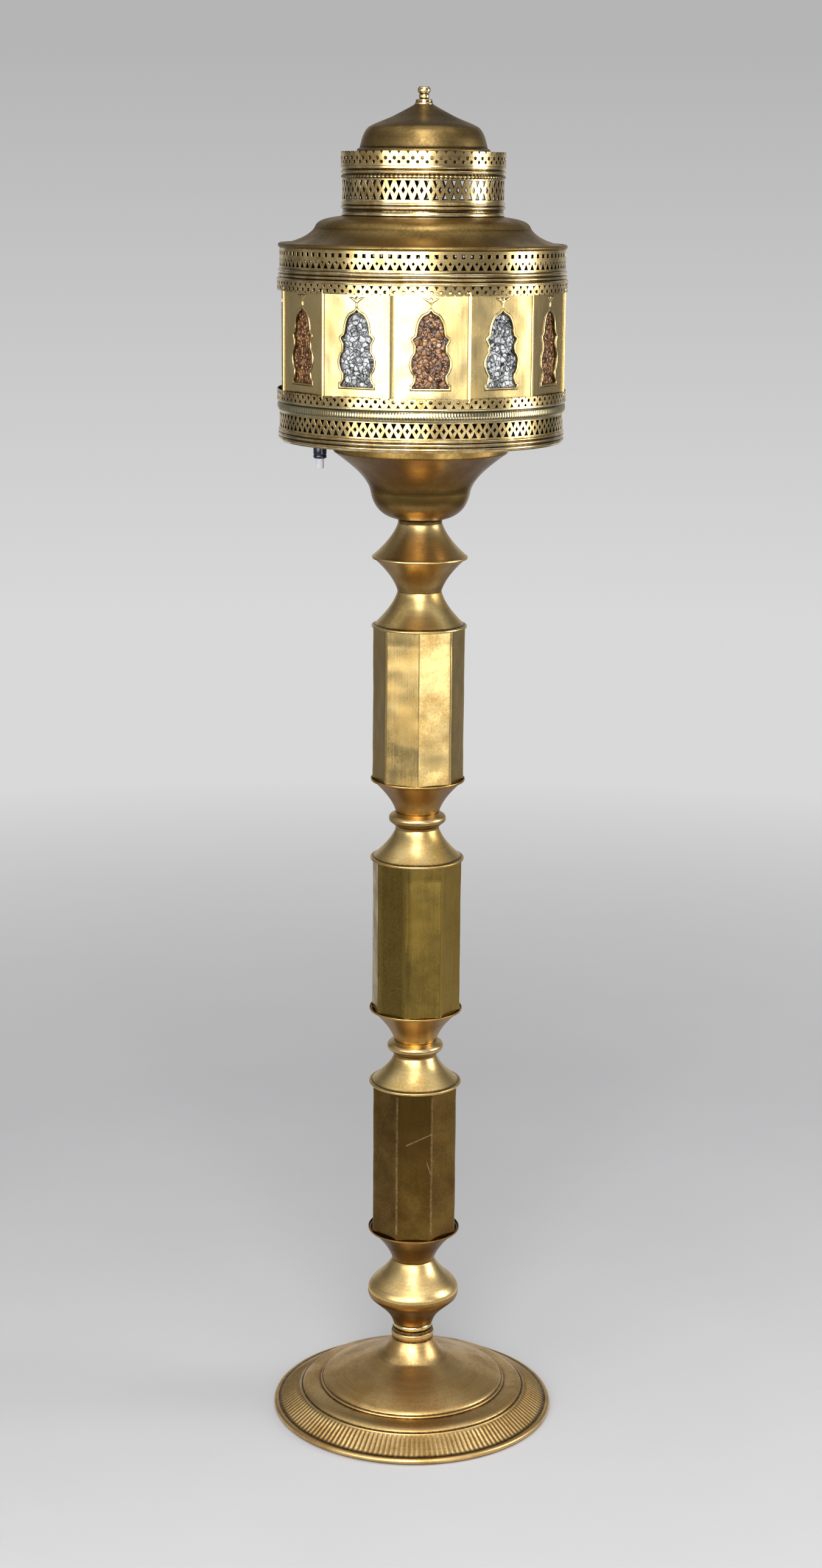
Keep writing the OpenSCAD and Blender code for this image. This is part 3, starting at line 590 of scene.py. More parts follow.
def pebbled_glass(name, bright, light, middle, vein, coat=0.0):
    """Figured glass: a mosaic of tints with painted glints between dark veins, in relief."""
    material, tree, shader, place = new_material(name)
    warp = put(tree, "TexNoise", {"Vector": place, "Scale": 150.0, "Detail": 2.0}).outputs["Color"]
    offset = vector(tree, "MULTIPLY", vector(tree, "ADD", warp, (-0.5,) * 3), (0.006,) * 3)
    bent = vector(tree, "ADD", offset, place)
    cells = {"Vector": bent, "Scale": 205.0}
    tint = parts(tree, put(tree, "TexVoronoi", cells).outputs["Color"])[0]
    edge = put(tree, "TexVoronoi", cells, feature="DISTANCE_TO_EDGE").outputs["Distance"]
    colour = mix(tree, remap(tree, tint, 0.25, 0.75), middle, light)
    # painted glints: small flecks of the bright colour
    painted_glint = remap(tree, grain(tree, bent, 420.0, 1.0), 0.56, 0.66)
    colour = mix(tree, times(tree, painted_glint, 0.8), colour, bright)
    # dark veins, and painted shade along the window's edge from the point attribute
    shade = calc(tree, "MAXIMUM", remap(tree, edge, 0.02, 0.17, 1.0, 0.0), shade_and_grime_of(tree))
    plug(tree, shader, {"Base Color": mix(tree, shade, colour, vein),
                        "Normal": relief(tree, 0.8, 0.0012, edge),
                        "Roughness": remap(tree, tint, 0.3, 0.7, 0.1, 0.2), "IOR": 1.5,
                        "Transmission Weight": 0.25, "Specular IOR Level": 0.3, "Coat Weight": coat})
    return material


# Colours of painted shade: on undersides, and in grooves, joints and insides with some soiling
UNDERSIDE_SHADE = (0.27, 0.145, 0.042)
SOFT_UNDERSIDE_SHADE = (0.29, 0.16, 0.045)
SHADE_AND_GRIME_COLOUR = (0.030, 0.018, 0.008)
OVERLAP = 0.72 * tall("lower_trim")  # how far the trims cover the panels

base_brass = brass("base_brass", (0.84, 0.57, 0.24), (0.52, 0.32, 0.11), SOFT_UNDERSIDE_SHADE, rough=(0.3, 0.42),
                   anisotropy=0.3)
column_brass = brass("column_brass", (0.80, 0.50, 0.16), (0.48, 0.26, 0.06), UNDERSIDE_SHADE, anisotropy=0.3)
tube_gold = brass("tube_gold", (0.92, 0.67, 0.28), (0.72, 0.47, 0.15), lines=drawn_lines, streaks=0.05,
                  rough=(0.2, 0.32), blotch=26.0, dents=0.4, pits=0.15)
# The middle and lowest tubes get darker copies of the tube brass, painting the shade that falls on them
tube_half_shade = brass("tube_half_shade", (0.72, 0.49, 0.12), (0.42, 0.27, 0.055), lines=drawn_lines,
                   streaks=0.05, rough=(0.22, 0.36), blotch=30.0, dents=0.4)
# Two scratches, and the worn edges of the front side
tube_deep_shade = brass("tube_deep_shade", (0.235, 0.135, 0.032), (0.135, 0.073, 0.015), lines=drawn_lines,
                  streaks=0.05, rough=(0.22, 0.36), blotch=26.0, dents=0.35, scratches=(
                      ((-9, 348), (20, 362), 0.9, 1.0), ((15, 327), (19, 314), 0.8, 1.0),
                      ((-20.3, 238), (-20.3, 406), 1.6, 0.4), ((20.3, 238), (20.3, 406), 1.6, 0.4)))
# the third colour is painted shade on the bowl's undersides
bowl_brass = brass("bowl_brass", (0.62, 0.40, 0.12), (0.34, 0.20, 0.055), (0.165, 0.083, 0.021),
                   anisotropy=0.3)
# A darker copy of the column brass, painting the shade on the lowest cup and knop, with deeper painted
# shade on its undersides
shaded_brass = brass("shaded_brass", (0.55, 0.33, 0.10), (0.32, 0.18, 0.05), (0.115, 0.055, 0.014),
                     anisotropy=0.3)
band_brass = brass("band_brass", (0.95, 0.76, 0.42), (0.50, 0.32, 0.11), rough=(0.16, 0.28), blotch=60.0,
                   dents=0.1)
pierced_brass = brass("pierced_brass", (0.88, 0.67, 0.32), (0.42, 0.265, 0.08), rough=(0.2, 0.32),
                      blotch=90.0, tarnish=(0.45, 0.66), dents=0.12, hollow=(0.45, 0.1))
reeded_brass = brass("reeded_brass", (0.95, 0.84, 0.52), (0.72, 0.57, 0.27), lines=drawn_lines,
                     rough=(0.2, 0.34), blotch=70.0)
panel_brass = brass("panel_brass", (0.95, 0.74, 0.36), (0.82, 0.58, 0.22), lines=drawn_lines,
                    streaks=0.05, rough=(0.2, 0.32), blotch=22.0, tarnish=(0.36, 0.68), dents=0.15,
                    pits=0.1, covered=(foot("panel_1") + OVERLAP, head("panel_1") - OVERLAP))
roof_brass = brass("roof_brass", (0.35, 0.23, 0.075), (0.16, 0.097, 0.03), rough=(0.34, 0.46),
                   anisotropy=0.3)
lid_brass = brass("lid_brass", (0.31, 0.205, 0.075), (0.125, 0.08, 0.028), rough=(0.34, 0.46),
                  anisotropy=0.3)
knop_brass = brass("knop_brass", (0.92, 0.68, 0.31), (0.68, 0.45, 0.16), SOFT_UNDERSIDE_SHADE, anisotropy=0.3)
cap_brass = brass("cap_brass", (0.88, 0.65, 0.28), (0.60, 0.39, 0.12), anisotropy=0.3)
collar_brass = brass("collar_brass", (0.86, 0.65, 0.31), (0.58, 0.38, 0.13), UNDERSIDE_SHADE, anisotropy=0.3)
bright_brass = brass("bright_brass", (0.93, 0.76, 0.40), (0.66, 0.46, 0.18), rough=(0.16, 0.28))
# Dark brass painting the shade inside the lantern, on its floor and the lamp holder's cap
inner_shade_brass = brass("inner_shade_brass", (0.24, 0.16, 0.07), (0.12, 0.08, 0.03), rough=(0.4, 0.55))
steel = plain("steel", (0.5, 0.5, 0.5), (0.32, 0.31, 0.3), 0.35, metallic=1.0)
iron = plain("iron", (0.06, 0.055, 0.05), (0.025, 0.022, 0.02), 0.7, scale=420.0, bump=0.4)
felt = plain("felt", (0.03, 0.07, 0.045), (0.012, 0.035, 0.022), 0.95, scale=1400.0, bump=0.8)
rubber = plain("rubber", (0.02, 0.02, 0.02), (0.01, 0.01, 0.01), 0.5)
porcelain = plain("porcelain", (0.78, 0.76, 0.71), (0.66, 0.63, 0.58), 0.25, coat=0.5)
frosted = plain("frosted", (0.82, 0.81, 0.78), (0.74, 0.73, 0.70), 0.35, coat=0.3)
switch_black = plain("switch_black", (0.012, 0.016, 0.05), (0.006, 0.008, 0.028), 0.18, coat=0.6)
switch_white = plain("switch_white", (0.86, 0.87, 0.9), (0.72, 0.74, 0.8), 0.3, coat=0.3)
amber_glass = pebbled_glass("amber_glass", (0.95, 0.62, 0.36), (0.48, 0.22, 0.075), (0.15, 0.055, 0.016),
                            (0.025, 0.008, 0.003))
clear_glass = pebbled_glass("clear_glass", (1.0, 1.0, 1.0), (0.78, 0.79, 0.80), (0.15, 0.155, 0.16),
                            (0.006, 0.006, 0.007), coat=0.4)

# The CAD nodes that show as they are; the others are replaced by a piece below
FINISHES = {
    "base_ballast": iron, "base_felt": felt, "base_nut": steel, "cord_bushing": rubber,
    "lamp_pipe": steel, "lantern_floor": inner_shade_brass, "floor_nut": steel, "holder_cap": inner_shade_brass,
    "holder_shell": porcelain, "bulb_base": steel, "bulb_glass": frosted, "switch_nut": steel,
}
for name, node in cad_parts.items():
    node.data.materials.clear()
    node.data.materials.append(FINISHES.get(name, column_brass))

# ---- Pieces ----
# Each outline follows the CAD node that the piece stands for, with finer curves and softened edges.

HOLE_R = 5.35  # of the pipe
RIM_R = reach("low_cup")
NECK_R = 25.0
CORNER_R = RIM_R - 1.3  # of the tubes


def flare(neck, rim, height):
    return bezier((neck, 0), (neck + 0.14 * (rim - neck), 0.38 * height),
                  (neck + 0.6 * (rim - neck), 0.73 * height), (rim, height))


def flared_cup(height, lip, ledge):
    return [(HOLE_R, 0), *flare(NECK_R, RIM_R - ledge, height - lip),
            (RIM_R - 0.7, height - lip + 0.3), (RIM_R, height - lip + 1.0), (RIM_R, height)]


def base_outline():
    """From the rolled edge over the fluted border, the riser, the step bead and the cone to the neck."""
    edge_r, edge_z = reach("base_shell") - 3.6, 4.2
    outline = arc((edge_r, edge_z), 3.6, -90, 120, 16)
    outline += [lerp((edge_r - 4, edge_z + 3.6), (136, 23.2), i / 12) for i in range(13)]
    outline += [(135.8, 24.0), (135, 24.4), (133.4, 24.3)]
    outline += bezier((132.6, 25), (131.4, 27.8), (124, 30.2), (111, 31), 20)
    outline += [(111.2, 32.2), (110.7, 33.4), (109.6, 33.7), (108.2, 34.0), (107.9, 35.0), (107.2, 35.9)]
    outline += bezier((106, 37), (84, 47.5), (56, 56), (42, 63), 24)
    outline += bezier((42, 63), (35, 66.5), (29.5, 75), (24.5, 87), 20)[1:]
    outline += [(25.3, 90), (25.5, 91.5), (25.5, 94), (25.0, 95.5), (24, 96), (24, 99), (HOLE_R, 99)]
    return outline


def flute(radius, angle, _):
    """Ribs and hollows of the border of the base."""
    start, end = 137.0, 158.9
    if not start < radius < end:
        return 1, 0, 0
    fade = min(1, (radius - start) / 1.5, (end - radius) / 1.5)
    wave = math.cos(FLUTES * angle)
    lift = fade * 0.55 * (math.copysign(abs(wave) ** 0.7, wave) - 0.2)
    # the hollows between the ribs get painted shade
    return 1, lift, min(0.45, -lift)


carved("spun_base", "base_shell", eased(shell(base_outline()), 0.3), base_brass, 8 * FLUTES, flute)
turned("bright_neck_ring", "neck_ring", [(HOLE_R, 0), *arc((19.5, 4), 4, -90, 90, 16), (HOLE_R, 8)],
       bright_brass)
h = tall("low_knop_bottom")
spun("knop_lower_half", "low_knop_bottom",
     [(HOLE_R, 0), *bezier((24, 0), (28, 0.34 * h), (RIM_R - 14, 0.52 * h), (RIM_R - 1.7, 0.81 * h), 24),
      (RIM_R - 0.5, 0.88 * h), (RIM_R, 0.95 * h), (RIM_R, h)], shaded_brass)
h = tall("low_knop_top")
spun("knop_upper_half", "low_knop_top",
     [(RIM_R, 0), *bezier((RIM_R - 0.7, 0.1 * h), (RIM_R - 5.6, 0.41 * h), (NECK_R + 12, 0.42 * h),
                          (NECK_R, h), 24), (HOLE_R, h)], knop_brass)

for name, ledge, finish in (
        ("low_cup", 3, shaded_brass), ("mid_cup", 3, column_brass), ("top_cup", 3, column_brass),
        ("low_cap", 3, cap_brass), ("mid_cap", 3, cap_brass), ("top_cap", 3, cap_brass),
        ("high_knop_top", 1.4, knop_brass)):
    section = shell(flared_cup(tall(name), 3, ledge))
    turned("spun_" + name, name, section if name.endswith("cup") else flipped(section, tall(name)), finish)

h = tall("high_knop_bottom")
spun("spun_high_knop_bottom", "high_knop_bottom",
     [(HOLE_R, 0), *flare(NECK_R, CORNER_R, h - 1), (CORNER_R, h)], knop_brass)

for name in ("low_collar", "high_collar"):
    h, r = tall(name), reach(name)
    turned("turned_" + name, name,
           [(HOLE_R, 0), *bezier((25, 0), (26, 0.3 * h), (r, 0.32 * h), (r, 0.56 * h), 14),
            *bezier((r, 0.62 * h), (r, 0.8 * h), (29, 0.88 * h), (25, h), 14), (HOLE_R, h)], collar_brass)

h = tall("bowl")
spun("spun_bowl", "bowl",
     [(HOLE_R, 0), (NECK_R, 0),
      *bezier((NECK_R, 0.04 * h), (41, 0.07 * h), (52.5, 0.165 * h), (56, 0.36 * h), 24),
      *bezier((56.5, 0.39 * h), (59.5, 0.5 * h), (68.5, 0.63 * h), (98, 0.85 * h), 24), (99, h)],
     bowl_brass)


def tube(name, node, finish, turn, seed, shade_and_dirt=(0,) * 8):
    """An eight-sided tube with rounded corners and small dents; shade_and_dirt is the painted shade of
    each side.
    """
    z, height = foot(node), tall(node)
    soft = 2.6
    rows, fade_rows = 64, 6
    # painted shade at the ends of the tube, where it meets the cups and caps
    end_shade = 0.6
    angles = [math.radians(45 * i) for i in range(8)]
    corners = [Vector((CORNER_R * math.cos(a), CORNER_R * math.sin(a))) for a in angles]
    plan, side_shades = [], []
    for i, corner in enumerate(corners):
        side_shades += [(shade_and_dirt[i - 1] + shade_and_dirt[i]) / 2] * 7 + [shade_and_dirt[i]] * 7
        after = corners[(i + 1) % 8]
        into, away = (corners[i - 1] - corner).normalized(), (after - corner).normalized()
        a, b = corner + into * soft, corner + away * soft
        plan += [lerp(lerp(a, corner, t), lerp(corner, b, t), t)
                 for t in (0, 0.17, 0.33, 0.5, 0.67, 0.83, 1)]
        end = after - away * soft
        plan += [lerp(b, end, t / 8) for t in range(1, 8)]
    count = len(plan)
    turned_by = Matrix.Rotation(math.radians(turn - 90), 2)
    points, faces = [], []
    shade_and_grime = [end_shade] * count + side_shades * (rows - 1) + [end_shade] * count * 3
    for row in range(rows + 1):
        level = z + height * row / rows
        edge = min(1, row / fade_rows, (rows - row) / fade_rows)
        for x, y in plan:
            place = Vector((x, y, level)) * 0.02 + Vector((seed, 0, 0))
            dent = (noise.noise(place) * 0.7 + noise.noise(place * 3.1) * 0.22) * edge
            outer = turned_by @ Vector((x, y)) * (1 - (0.35 + dent * 0.8) * edge / math.hypot(x, y))
            points.append((*outer, level))
    for row in (rows, 0):
        for x, y in plan:
            inner = turned_by @ Vector((x, y)) * (1 - 1.1 * SHEET / 49)
            points.append((*inner, z + height * row / rows))
    total = (rows + 3) * count
    for start in range(0, total, count):
        for i in range(count):
            j = (i + 1) % count
            faces.append((start + i, start + j, (start + count + j) % total, (start + count + i) % total))
    mesh_piece(name, node, points, faces, finish, crease=50, shade_and_grime=shade_and_grime)


# The last numbers are painted shade on chosen sides of each tube
tube("faceted_low_tube", "low_tube", tube_deep_shade, 22.5, 3.0, (0.1, 0, 0.2, 0, 0.3, 0, 0.35, 0))
tube("faceted_mid_tube", "mid_tube", tube_half_shade, -12.0, 9.0, (0, 0.1, 0, 0.2, 0, 0.3, 0.2, 0.6))
tube("faceted_top_tube", "top_tube", tube_gold, 0.0, 14.0)

LANTERN_R = reach("roof")
WALL_R = LANTERN_R - 1.2
WALL_IN_R = WALL_R - 1.8
LAND_R = LANTERN_R + 1.6
LAND_IN_R = LANTERN_R * math.cos(HALF_SIDE) - 8

h = tall("lower_band")
turned("beaded_lower_band", "lower_band",
       [(WALL_IN_R - 8, 0), (WALL_R - 1, 0), *bead(WALL_R - 0.6, 0.24 * h, 0.125 * h),
        *bead(WALL_R - 0.8, 0.56 * h, 0.145 * h), *bead(WALL_R - 0.6, 0.84 * h, 0.11 * h),
        (WALL_R, 0.96 * h), (WALL_R, h), (WALL_IN_R, h), (WALL_IN_R, 1), (WALL_IN_R - 8, 1)],
       band_brass, segments=240)


def panel_ring(mouldings, h):
    """Section of a ring that the panels stand in, with its land on top."""
    return [(WALL_IN_R, 0), (WALL_R, 0), *mouldings, (LAND_R, h - 1.8), (LAND_R, h), (LAND_IN_R, h),
            (LAND_IN_R, h - 1), (WALL_IN_R, h - 1)]


z, h = foot("reeded_ring"), tall("reeded_ring")
reeds_low, reeds_high = z + 0.1 * h, z + 0.78 * h


def reed(radius, angle, level):
    if radius <= WALL_R or not reeds_low < level < reeds_high:
        return 1, 0, 0
    fade = min(1, (level - reeds_low) / 1.5, (reeds_high - level) / 1.5)
    depth = 0.5 * (1 + math.cos(REEDS * angle)) * fade
    # painted shade in the grooves between the reeds
    return 1 - 0.0018 * depth, 0, 0.7 * depth


section = panel_ring([(WALL_R, 0.08 * h),
                      *bezier((WALL_R + 0.2, 0.11 * h), (LAND_R, 0.2 * h), (LAND_R, 0.58 * h),
                              (WALL_R + 0.6, 0.79 * h), 16)], h)
carved("reeded_band", "reeded_ring", raised(fine(eased(section)), z), reeded_brass, 4 * REEDS, reed)

h = tall("upper_band")
section = panel_ring([*bead(WALL_R - 0.6, 0.3 * h, 0.155 * h),
                      *bead(WALL_R - 0.2, 0.61 * h, 0.125 * h)], h)
turned("beaded_upper_band", "upper_band", flipped(section, h), band_brass, segments=240)

h, rim = tall("roof"), LANTERN_R
DRUM_R = reach("drum_crown")
DRUM_WALL = DRUM_R - 1.2
spun("spun_roof", "roof",
     [(WALL_IN_R - 1, 0), *arc((rim - 2.6, 2.6), 2.6, -70, 120, 14),
      *bezier((rim - 6, 4.4), (rim - 22, 0.21 * h), (rim - 34, 0.37 * h), (rim - 40, 0.6 * h)),
      *bezier((rim - 40.6, 0.64 * h), (rim - 43, 0.82 * h), (rim - 50, 0.9 * h), (DRUM_WALL + 1, h - 1)),
      (DRUM_WALL - 1, h), (DRUM_WALL - 4.8, h)], roof_brass, segments=240)
h = tall("drum_base")
turned("beaded_drum_base", "drum_base",
       [(DRUM_WALL - 1.8, 0), (DRUM_WALL, 0), (DRUM_WALL, 0.16 * h), (DRUM_WALL - 0.8, 0.24 * h),
        (DRUM_WALL - 0.8, 0.4 * h), *bead(DRUM_WALL - 0.6, 0.57 * h, 0.13 * h),
        *bead(DRUM_WALL - 0.4, 0.83 * h, 0.1 * h), (DRUM_WALL, 0.95 * h), (DRUM_WALL, h),
        (DRUM_WALL - 1.8, h)], band_brass, segments=192)
z, h = foot("drum_top"), tall("drum_top")
milled_high = z + 0.3 * h


def notch(radius, angle, level):
    if level >= milled_high or radius <= DRUM_WALL - 0.3:
        return 1, 0, 0
    depth = 0.5 * (1 - math.cos(NOTCHES * angle))
    # painted shade in the milled notches
    return 1 - 0.005 * depth, 0, 0.8 * depth


section = [(DRUM_WALL - 1.8, 0), (DRUM_WALL, 0), *bead(DRUM_WALL - 0.6, 0.16 * h, 0.13 * h),
           *bead(DRUM_WALL - 0.6, 0.5 * h, 0.15 * h), (DRUM_WALL - 0.4, 0.69 * h), (DRUM_R, 0.78 * h),
           (DRUM_R, h), (77, h), (77, h - 1), (DRUM_WALL - 1.8, h - 1)]
carved("milled_drum_top", "drum_top", raised(eased(section), z), band_brass, 8 * NOTCHES, notch)

h = 65.0
spun("spun_dome", "dome",
     [(DRUM_R - 4, 1), (80, 1), (78, 8), (73, 14.4), (73.2, 15.6), (72.8, 17.2), (70, 18.6),
      *bezier((69.6, 20.5), (68, 27), (66.6, 35), (60.5, 40.6)),
      *bezier((60.5, 40.6), (54, 45.2), (41, 48.6), (31, 53.8))[1:],
      *bezier((31, 53.8), (22, 58.6), (16, 61.5), (10.5, h))[1:], (3, h)],
     lid_brass, body="lid", segments=192)
screw = 8  # how far the finial's screw reaches below the lid
h = tall("finial") - screw
turned("turned_finial", "finial",
       raised([(0, -screw), (3, -screw), (3, 0), (10.4, 0), (10.2, 1.2), (9.4, 2), (9.2, 4.6),
               (8.6, 5.3), (5.2, 5.6), *arc((1.4, 8.6), 4.4, -45, 45, 10),
               *arc((2.3, h - 4.1), 4.9, -42, 55, 12), (2.4, h), (0, h)], screw),
       bright_brass, body="lid", segments=72)

STRIPS = (
    ("lower_gallery", LANTERN_R - 1.6, LANTERN_REPEATS, 0, "lattice"),
    ("upper_gallery", LANTERN_R - 1.6, LANTERN_REPEATS, 1 / 2, "squares"),
    ("drum_gallery", DRUM_R - 1.6, DRUM_REPEATS, 1 / 3, "lattice"),
    ("lower_trim", reach("lower_trim"), LANTERN_REPEATS, 0, "trim"),
    ("upper_trim", reach("upper_trim"), LANTERN_REPEATS, 0, "trim"),
    ("drum_crown", DRUM_R, DRUM_REPEATS, 3 / 8, "crown"),
)
for node, radius, repeats, shift, kind in STRIPS:
    w, h = 2 * math.pi * radius / repeats, tall(node)
    holes, seam, top = pattern(kind, w / h)
    seam, top, *holes = [[(x * w, y * h) for x, y in loop] for loop in (seam, top, *holes)]
    pierced_ring(node, radius, pierced_cell(w, seam, top, holes), repeats, shift)

# ---- Panels and glass ----

PANEL_APOTHEM = (LANTERN_R - 0.2) * math.cos(HALF_SIDE)
PANEL_HALF = PANEL_APOTHEM * math.tan(HALF_SIDE) - 0.05
PANEL_FOOT = foot("panel_1")
PANEL_H = tall("panel_1")
WINDOW_FOOT = 21.5
LEAF_FOOT = WINDOW_FOOT + 83.6
GLASS_T = 3.0


def window_side(g, w=20.5, h=80.0):
    """Right half of the window outline, from the middle of its foot up to its tip, grown by g."""
    return [(0, -g), (0.5 * w, -g), (0.94 * w + g, -g),
            *bezier((0.94 * w + g, 0.02 * h + g), (0.85 * w + g, 0.04 * h), (0.77 * w + g, 0.07 * h),
                    (0.76 * w + g, 0.12 * h), 6),
            *bezier((0.76 * w + g, 0.17 * h), (1.06 * w + g, 0.24 * h), (1.06 * w + g, 0.4 * h),
                    (0.76 * w + g, 0.46 * h), 14),
            (0.76 * w + g, 0.56 * h), (0.9 * w + g, 0.62 * h), (0.9 * w + g, 0.64 * h + g / 2),
            (0.7 * w + g, 0.68 * h + g / 2),
            *bezier((0.68 * w + g, 0.74 * h), (0.64 * w + g, 0.86 * h + g / 2),
                    (0.42 * w + g, 0.93 * h + g), (0.3 * w + g / 2, 0.945 * h + g), 12),
            (0.12 * w + g / 3, 0.965 * h + 1.2 * g), (0, h + 1.8 * g)]


def mirrored(side, level):
    """The closed loop of a right half that starts and ends on the middle line, raised to its level."""
    return raised(side + [(-x, y) for x, y in reversed(side[1:-1])], level)


def window_loop(g):
    return mirrored(window_side(g), WINDOW_FOOT)


def leaves():
    """Outline of the embossed stem and leaves over the tip of a window."""
    side = [(1.3, -1), (1.2, 1.5), (1.5, 4), *bezier((1.8, 4.6), (2.8, 6.2), (5.6, 6.9), (8.9, 10.1), 6),
            *bezier((8.4, 10.5), (6.2, 11.1), (3.9, 10.7), (2.3, 8.5), 6), (2.0, 9.2), (1.3, 10.6)]
    return raised([*side, (0, 11.4), *[(-x, y) for x, y in reversed(side)]], LEAF_FOOT)


def on_side(polygons, i):
    """Points, faces and painted shade and soiling of flat polygons stood upright on side i of the lantern.
    """
    corners, faces, shade_and_grime = indexed(polygons)
    angle = math.radians(LANTERN_TURN - 90 + i * 360 / SIDES)
    c, s = math.cos(angle), math.sin(angle)
    points = [((PANEL_APOTHEM - d) * c - x * s, (PANEL_APOTHEM - d) * s + x * c, PANEL_FOOT + y)
              for x, y, d in corners]
    return points, faces, shade_and_grime


def panel_polygons(seed):
    """A plate with small dents, a rounded border round its window and a rolled seam along each side."""
    plate, rows, columns = PANEL_HALF - 2.9, 24, 15
    border = [(3.3, 0.0, 0.0), (2.5, 0.0, 0.9), (2.2, -0.5, 0.2), (1.6, -0.85, 0.0), (0.9, -0.85, 0.0),
              (0.4, -0.55, 0.3), (0.0, -0.1, 0.9), (0.0, SHEET, 1.0)]  # growth, depth and painted shade
    hole = window_loop(border[0][0])
    levels = [PANEL_H * i / rows for i in range(rows + 1)]
    edge = [(-plate, 0), *[(plate, y) for y in levels], *[(-plate, y) for y in reversed(levels[1:])]]
    across = [-plate + 2 * plate * i / columns for i in range(1, columns)]
    wide = grown(hole, 2.0)
    loose = [(x, y) for x in across for y in levels[1:-1] if not inside((x, y), wide)]

    def dent(x, y):
        from_end = min(y, PANEL_H - y)
        place = Vector((x * 0.045 + seed, y * 0.045, 0.3))
        bulge = 0.8 * (1 - (x / plate) ** 2) * max(0, min(1, from_end / 8))
        fade = max(0, min(1, (plate - abs(x)) / 4, from_end / 6))
        return fade * (0.45 * noise.noise(place) + 0.12 * noise.noise(place * 3.3)) - bulge

    polygons = [at_depth(t, 0) for t in triangles(edge, [hole], loose)]
    polygons += bands(*[at_depth(window_loop(g), depth, shade_and_dirt) for g, depth, shade_and_dirt in border])
    leaf, crest = leaves(), grown(leaves(), -0.5)
    # painted shade round the foot of the embossed leaves
    polygons += bands(at_depth(leaf, 0.4, 1), at_depth(leaf, -0.5), at_depth(crest, -1))
    polygons += [at_depth(t, -1) for t in triangles(crest, [])]
    polygons = [[(x, y, d + dent(x, y) if d < 0.5 else d, shade_and_dirt) for x, y, d, shade_and_dirt in p] for p in polygons]
    fold = PANEL_HALF - 7 * math.tan(HALF_SIDE)  # where the edge that is folded in ends
    # the last number of each is painted shade, darkest in the crease of the seam and on the back
    roll = [(plate, 0, 0), (PANEL_HALF - 1.9, 0, 0.9), (PANEL_HALF - 1.8, -0.55, 0.1),
            (PANEL_HALF - 1.35, -1, 0), (PANEL_HALF - 0.7, -1.3, 0), (PANEL_HALF + 0.3, -1.4, 0),
            (PANEL_HALF, 0, 0.5), (fold, 7, 1), (fold - 1.04, 7, 1), (PANEL_HALF - 1.3, SHEET, 1)]
    for side in (1, -1):
        for (x, *deep), (x2, *deep2) in zip(roll, roll[1:]):
            for y, y2 in zip(levels, levels[1:]):
                polygons.append([(side * x, y, *deep), (side * x2, y, *deep2), (side * x2, y2, *deep2),
                                 (side * x, y2, *deep)])
        for y in (0, PANEL_H):
            polygons.append([(side * x, y, *deep) for x, *deep in [(0, SHEET, 1), (0, 0, 0), *roll]])
    return polygons


def panel_back():
    width = PANEL_HALF - 1.3
    edge = [(-width, 0), (width, 0), (width, PANEL_H), (-width, PANEL_H)]
    # the back of the panel is darkened with painted shade
    return [at_depth(t, SHEET, 1) for t in triangles(edge, [window_loop(0.0)])]


back = panel_back()
for i in range(SIDES):
    points, faces, shade_and_grime = on_side(panel_polygons(7.0 * i + 1) + back, i)
    mesh_piece(f"folded_panel_{i + 1}", f"panel_{i + 1}", points, faces, panel_brass, crease=50,
               shade_and_grime=shade_and_grime)


def distance(point, loop):
    """How far a point is from the closed loop."""
    nearest = math.inf
    for i, b in enumerate(loop):
        a = loop[i - 1]
        dx, dy = b[0] - a[0], b[1] - a[1]
        t = ((point[0] - a[0]) * dx + (point[1] - a[1]) * dy) / (dx * dx + dy * dy)
        nearest = min(nearest, math.dist(point, lerp(a, b, max(0, min(1, t)))))
    return nearest


PEBBLE_STEP = 0.95
PANE_XS = [-27.5, *[-22.8 + PEBBLE_STEP * i for i in range(49)], 27.5]
PANE_YS = [-7, *[-1.2 + PEBBLE_STEP * i for i in range(87)], 87]
PANE_YS = [WINDOW_FOOT + y for y in PANE_YS]
# painted shade and putty that darken the glass near the window's edge
PANE_EDGE_SHADE_AND_PUTTY = [[max(0, 1 - distance((x, y), window_loop(0.0)) / 1.8) for x in PANE_XS] for y in PANE_YS]


def pane_polygons(seed):
    """A pane whose outer face is pressed into irregular pebbles, with painted shade and putty along the
    edge of its window.
    """
    def depth(x, y):
        place = Vector((x + seed, y, 0.4 * x))
        near = noise.voronoi(place * 0.19)[0]
        return SHEET + 0.02 + 0.75 * min(1, near[0] * 1.25) ** 1.5 + 0.14 * (1 + noise.noise(place * 0.5))

    face = [[(x, y, depth(x, y), shade_and_dirt) for x, shade_and_dirt in zip(PANE_XS, shades_and_dirt)]
            for y, shades_and_dirt in zip(PANE_YS, PANE_EDGE_SHADE_AND_PUTTY)]
    polygons = [[row[j], row[j + 1], above[j + 1], above[j]] for row, above in zip(face, face[1:])
                for j in range(len(row) - 1)]
    rim = face[0] + [row[-1] for row in face[1:]] + face[-1][-2::-1] + [row[0] for row in face[-2:0:-1]]
    deep = [(x, y, SHEET + GLASS_T, 0) for x, y, *_ in rim]
    return polygons + bands(rim, deep) + [deep]


for name, first, glass in (("amber_panes", 0, amber_glass), ("clear_panes", 1, clear_glass)):
    points, faces, shade_and_grime = [], [], []
    for i in range(first, SIDES, 2):
        more, ring, shade_and_dirt = on_side(pane_polygons(31.0 * i), i)
        faces += [[len(points) + v for v in face] for face in ring]
        points += more
        shade_and_grime += shade_and_dirt
    mesh_piece("pebbled_" + name, name, points, faces, glass, crease=60, shade_and_grime=shade_and_grime)

# ---- Switch ----

low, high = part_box("switch_body")
SWITCH_X = (low.x + high.x) / 2 / MM


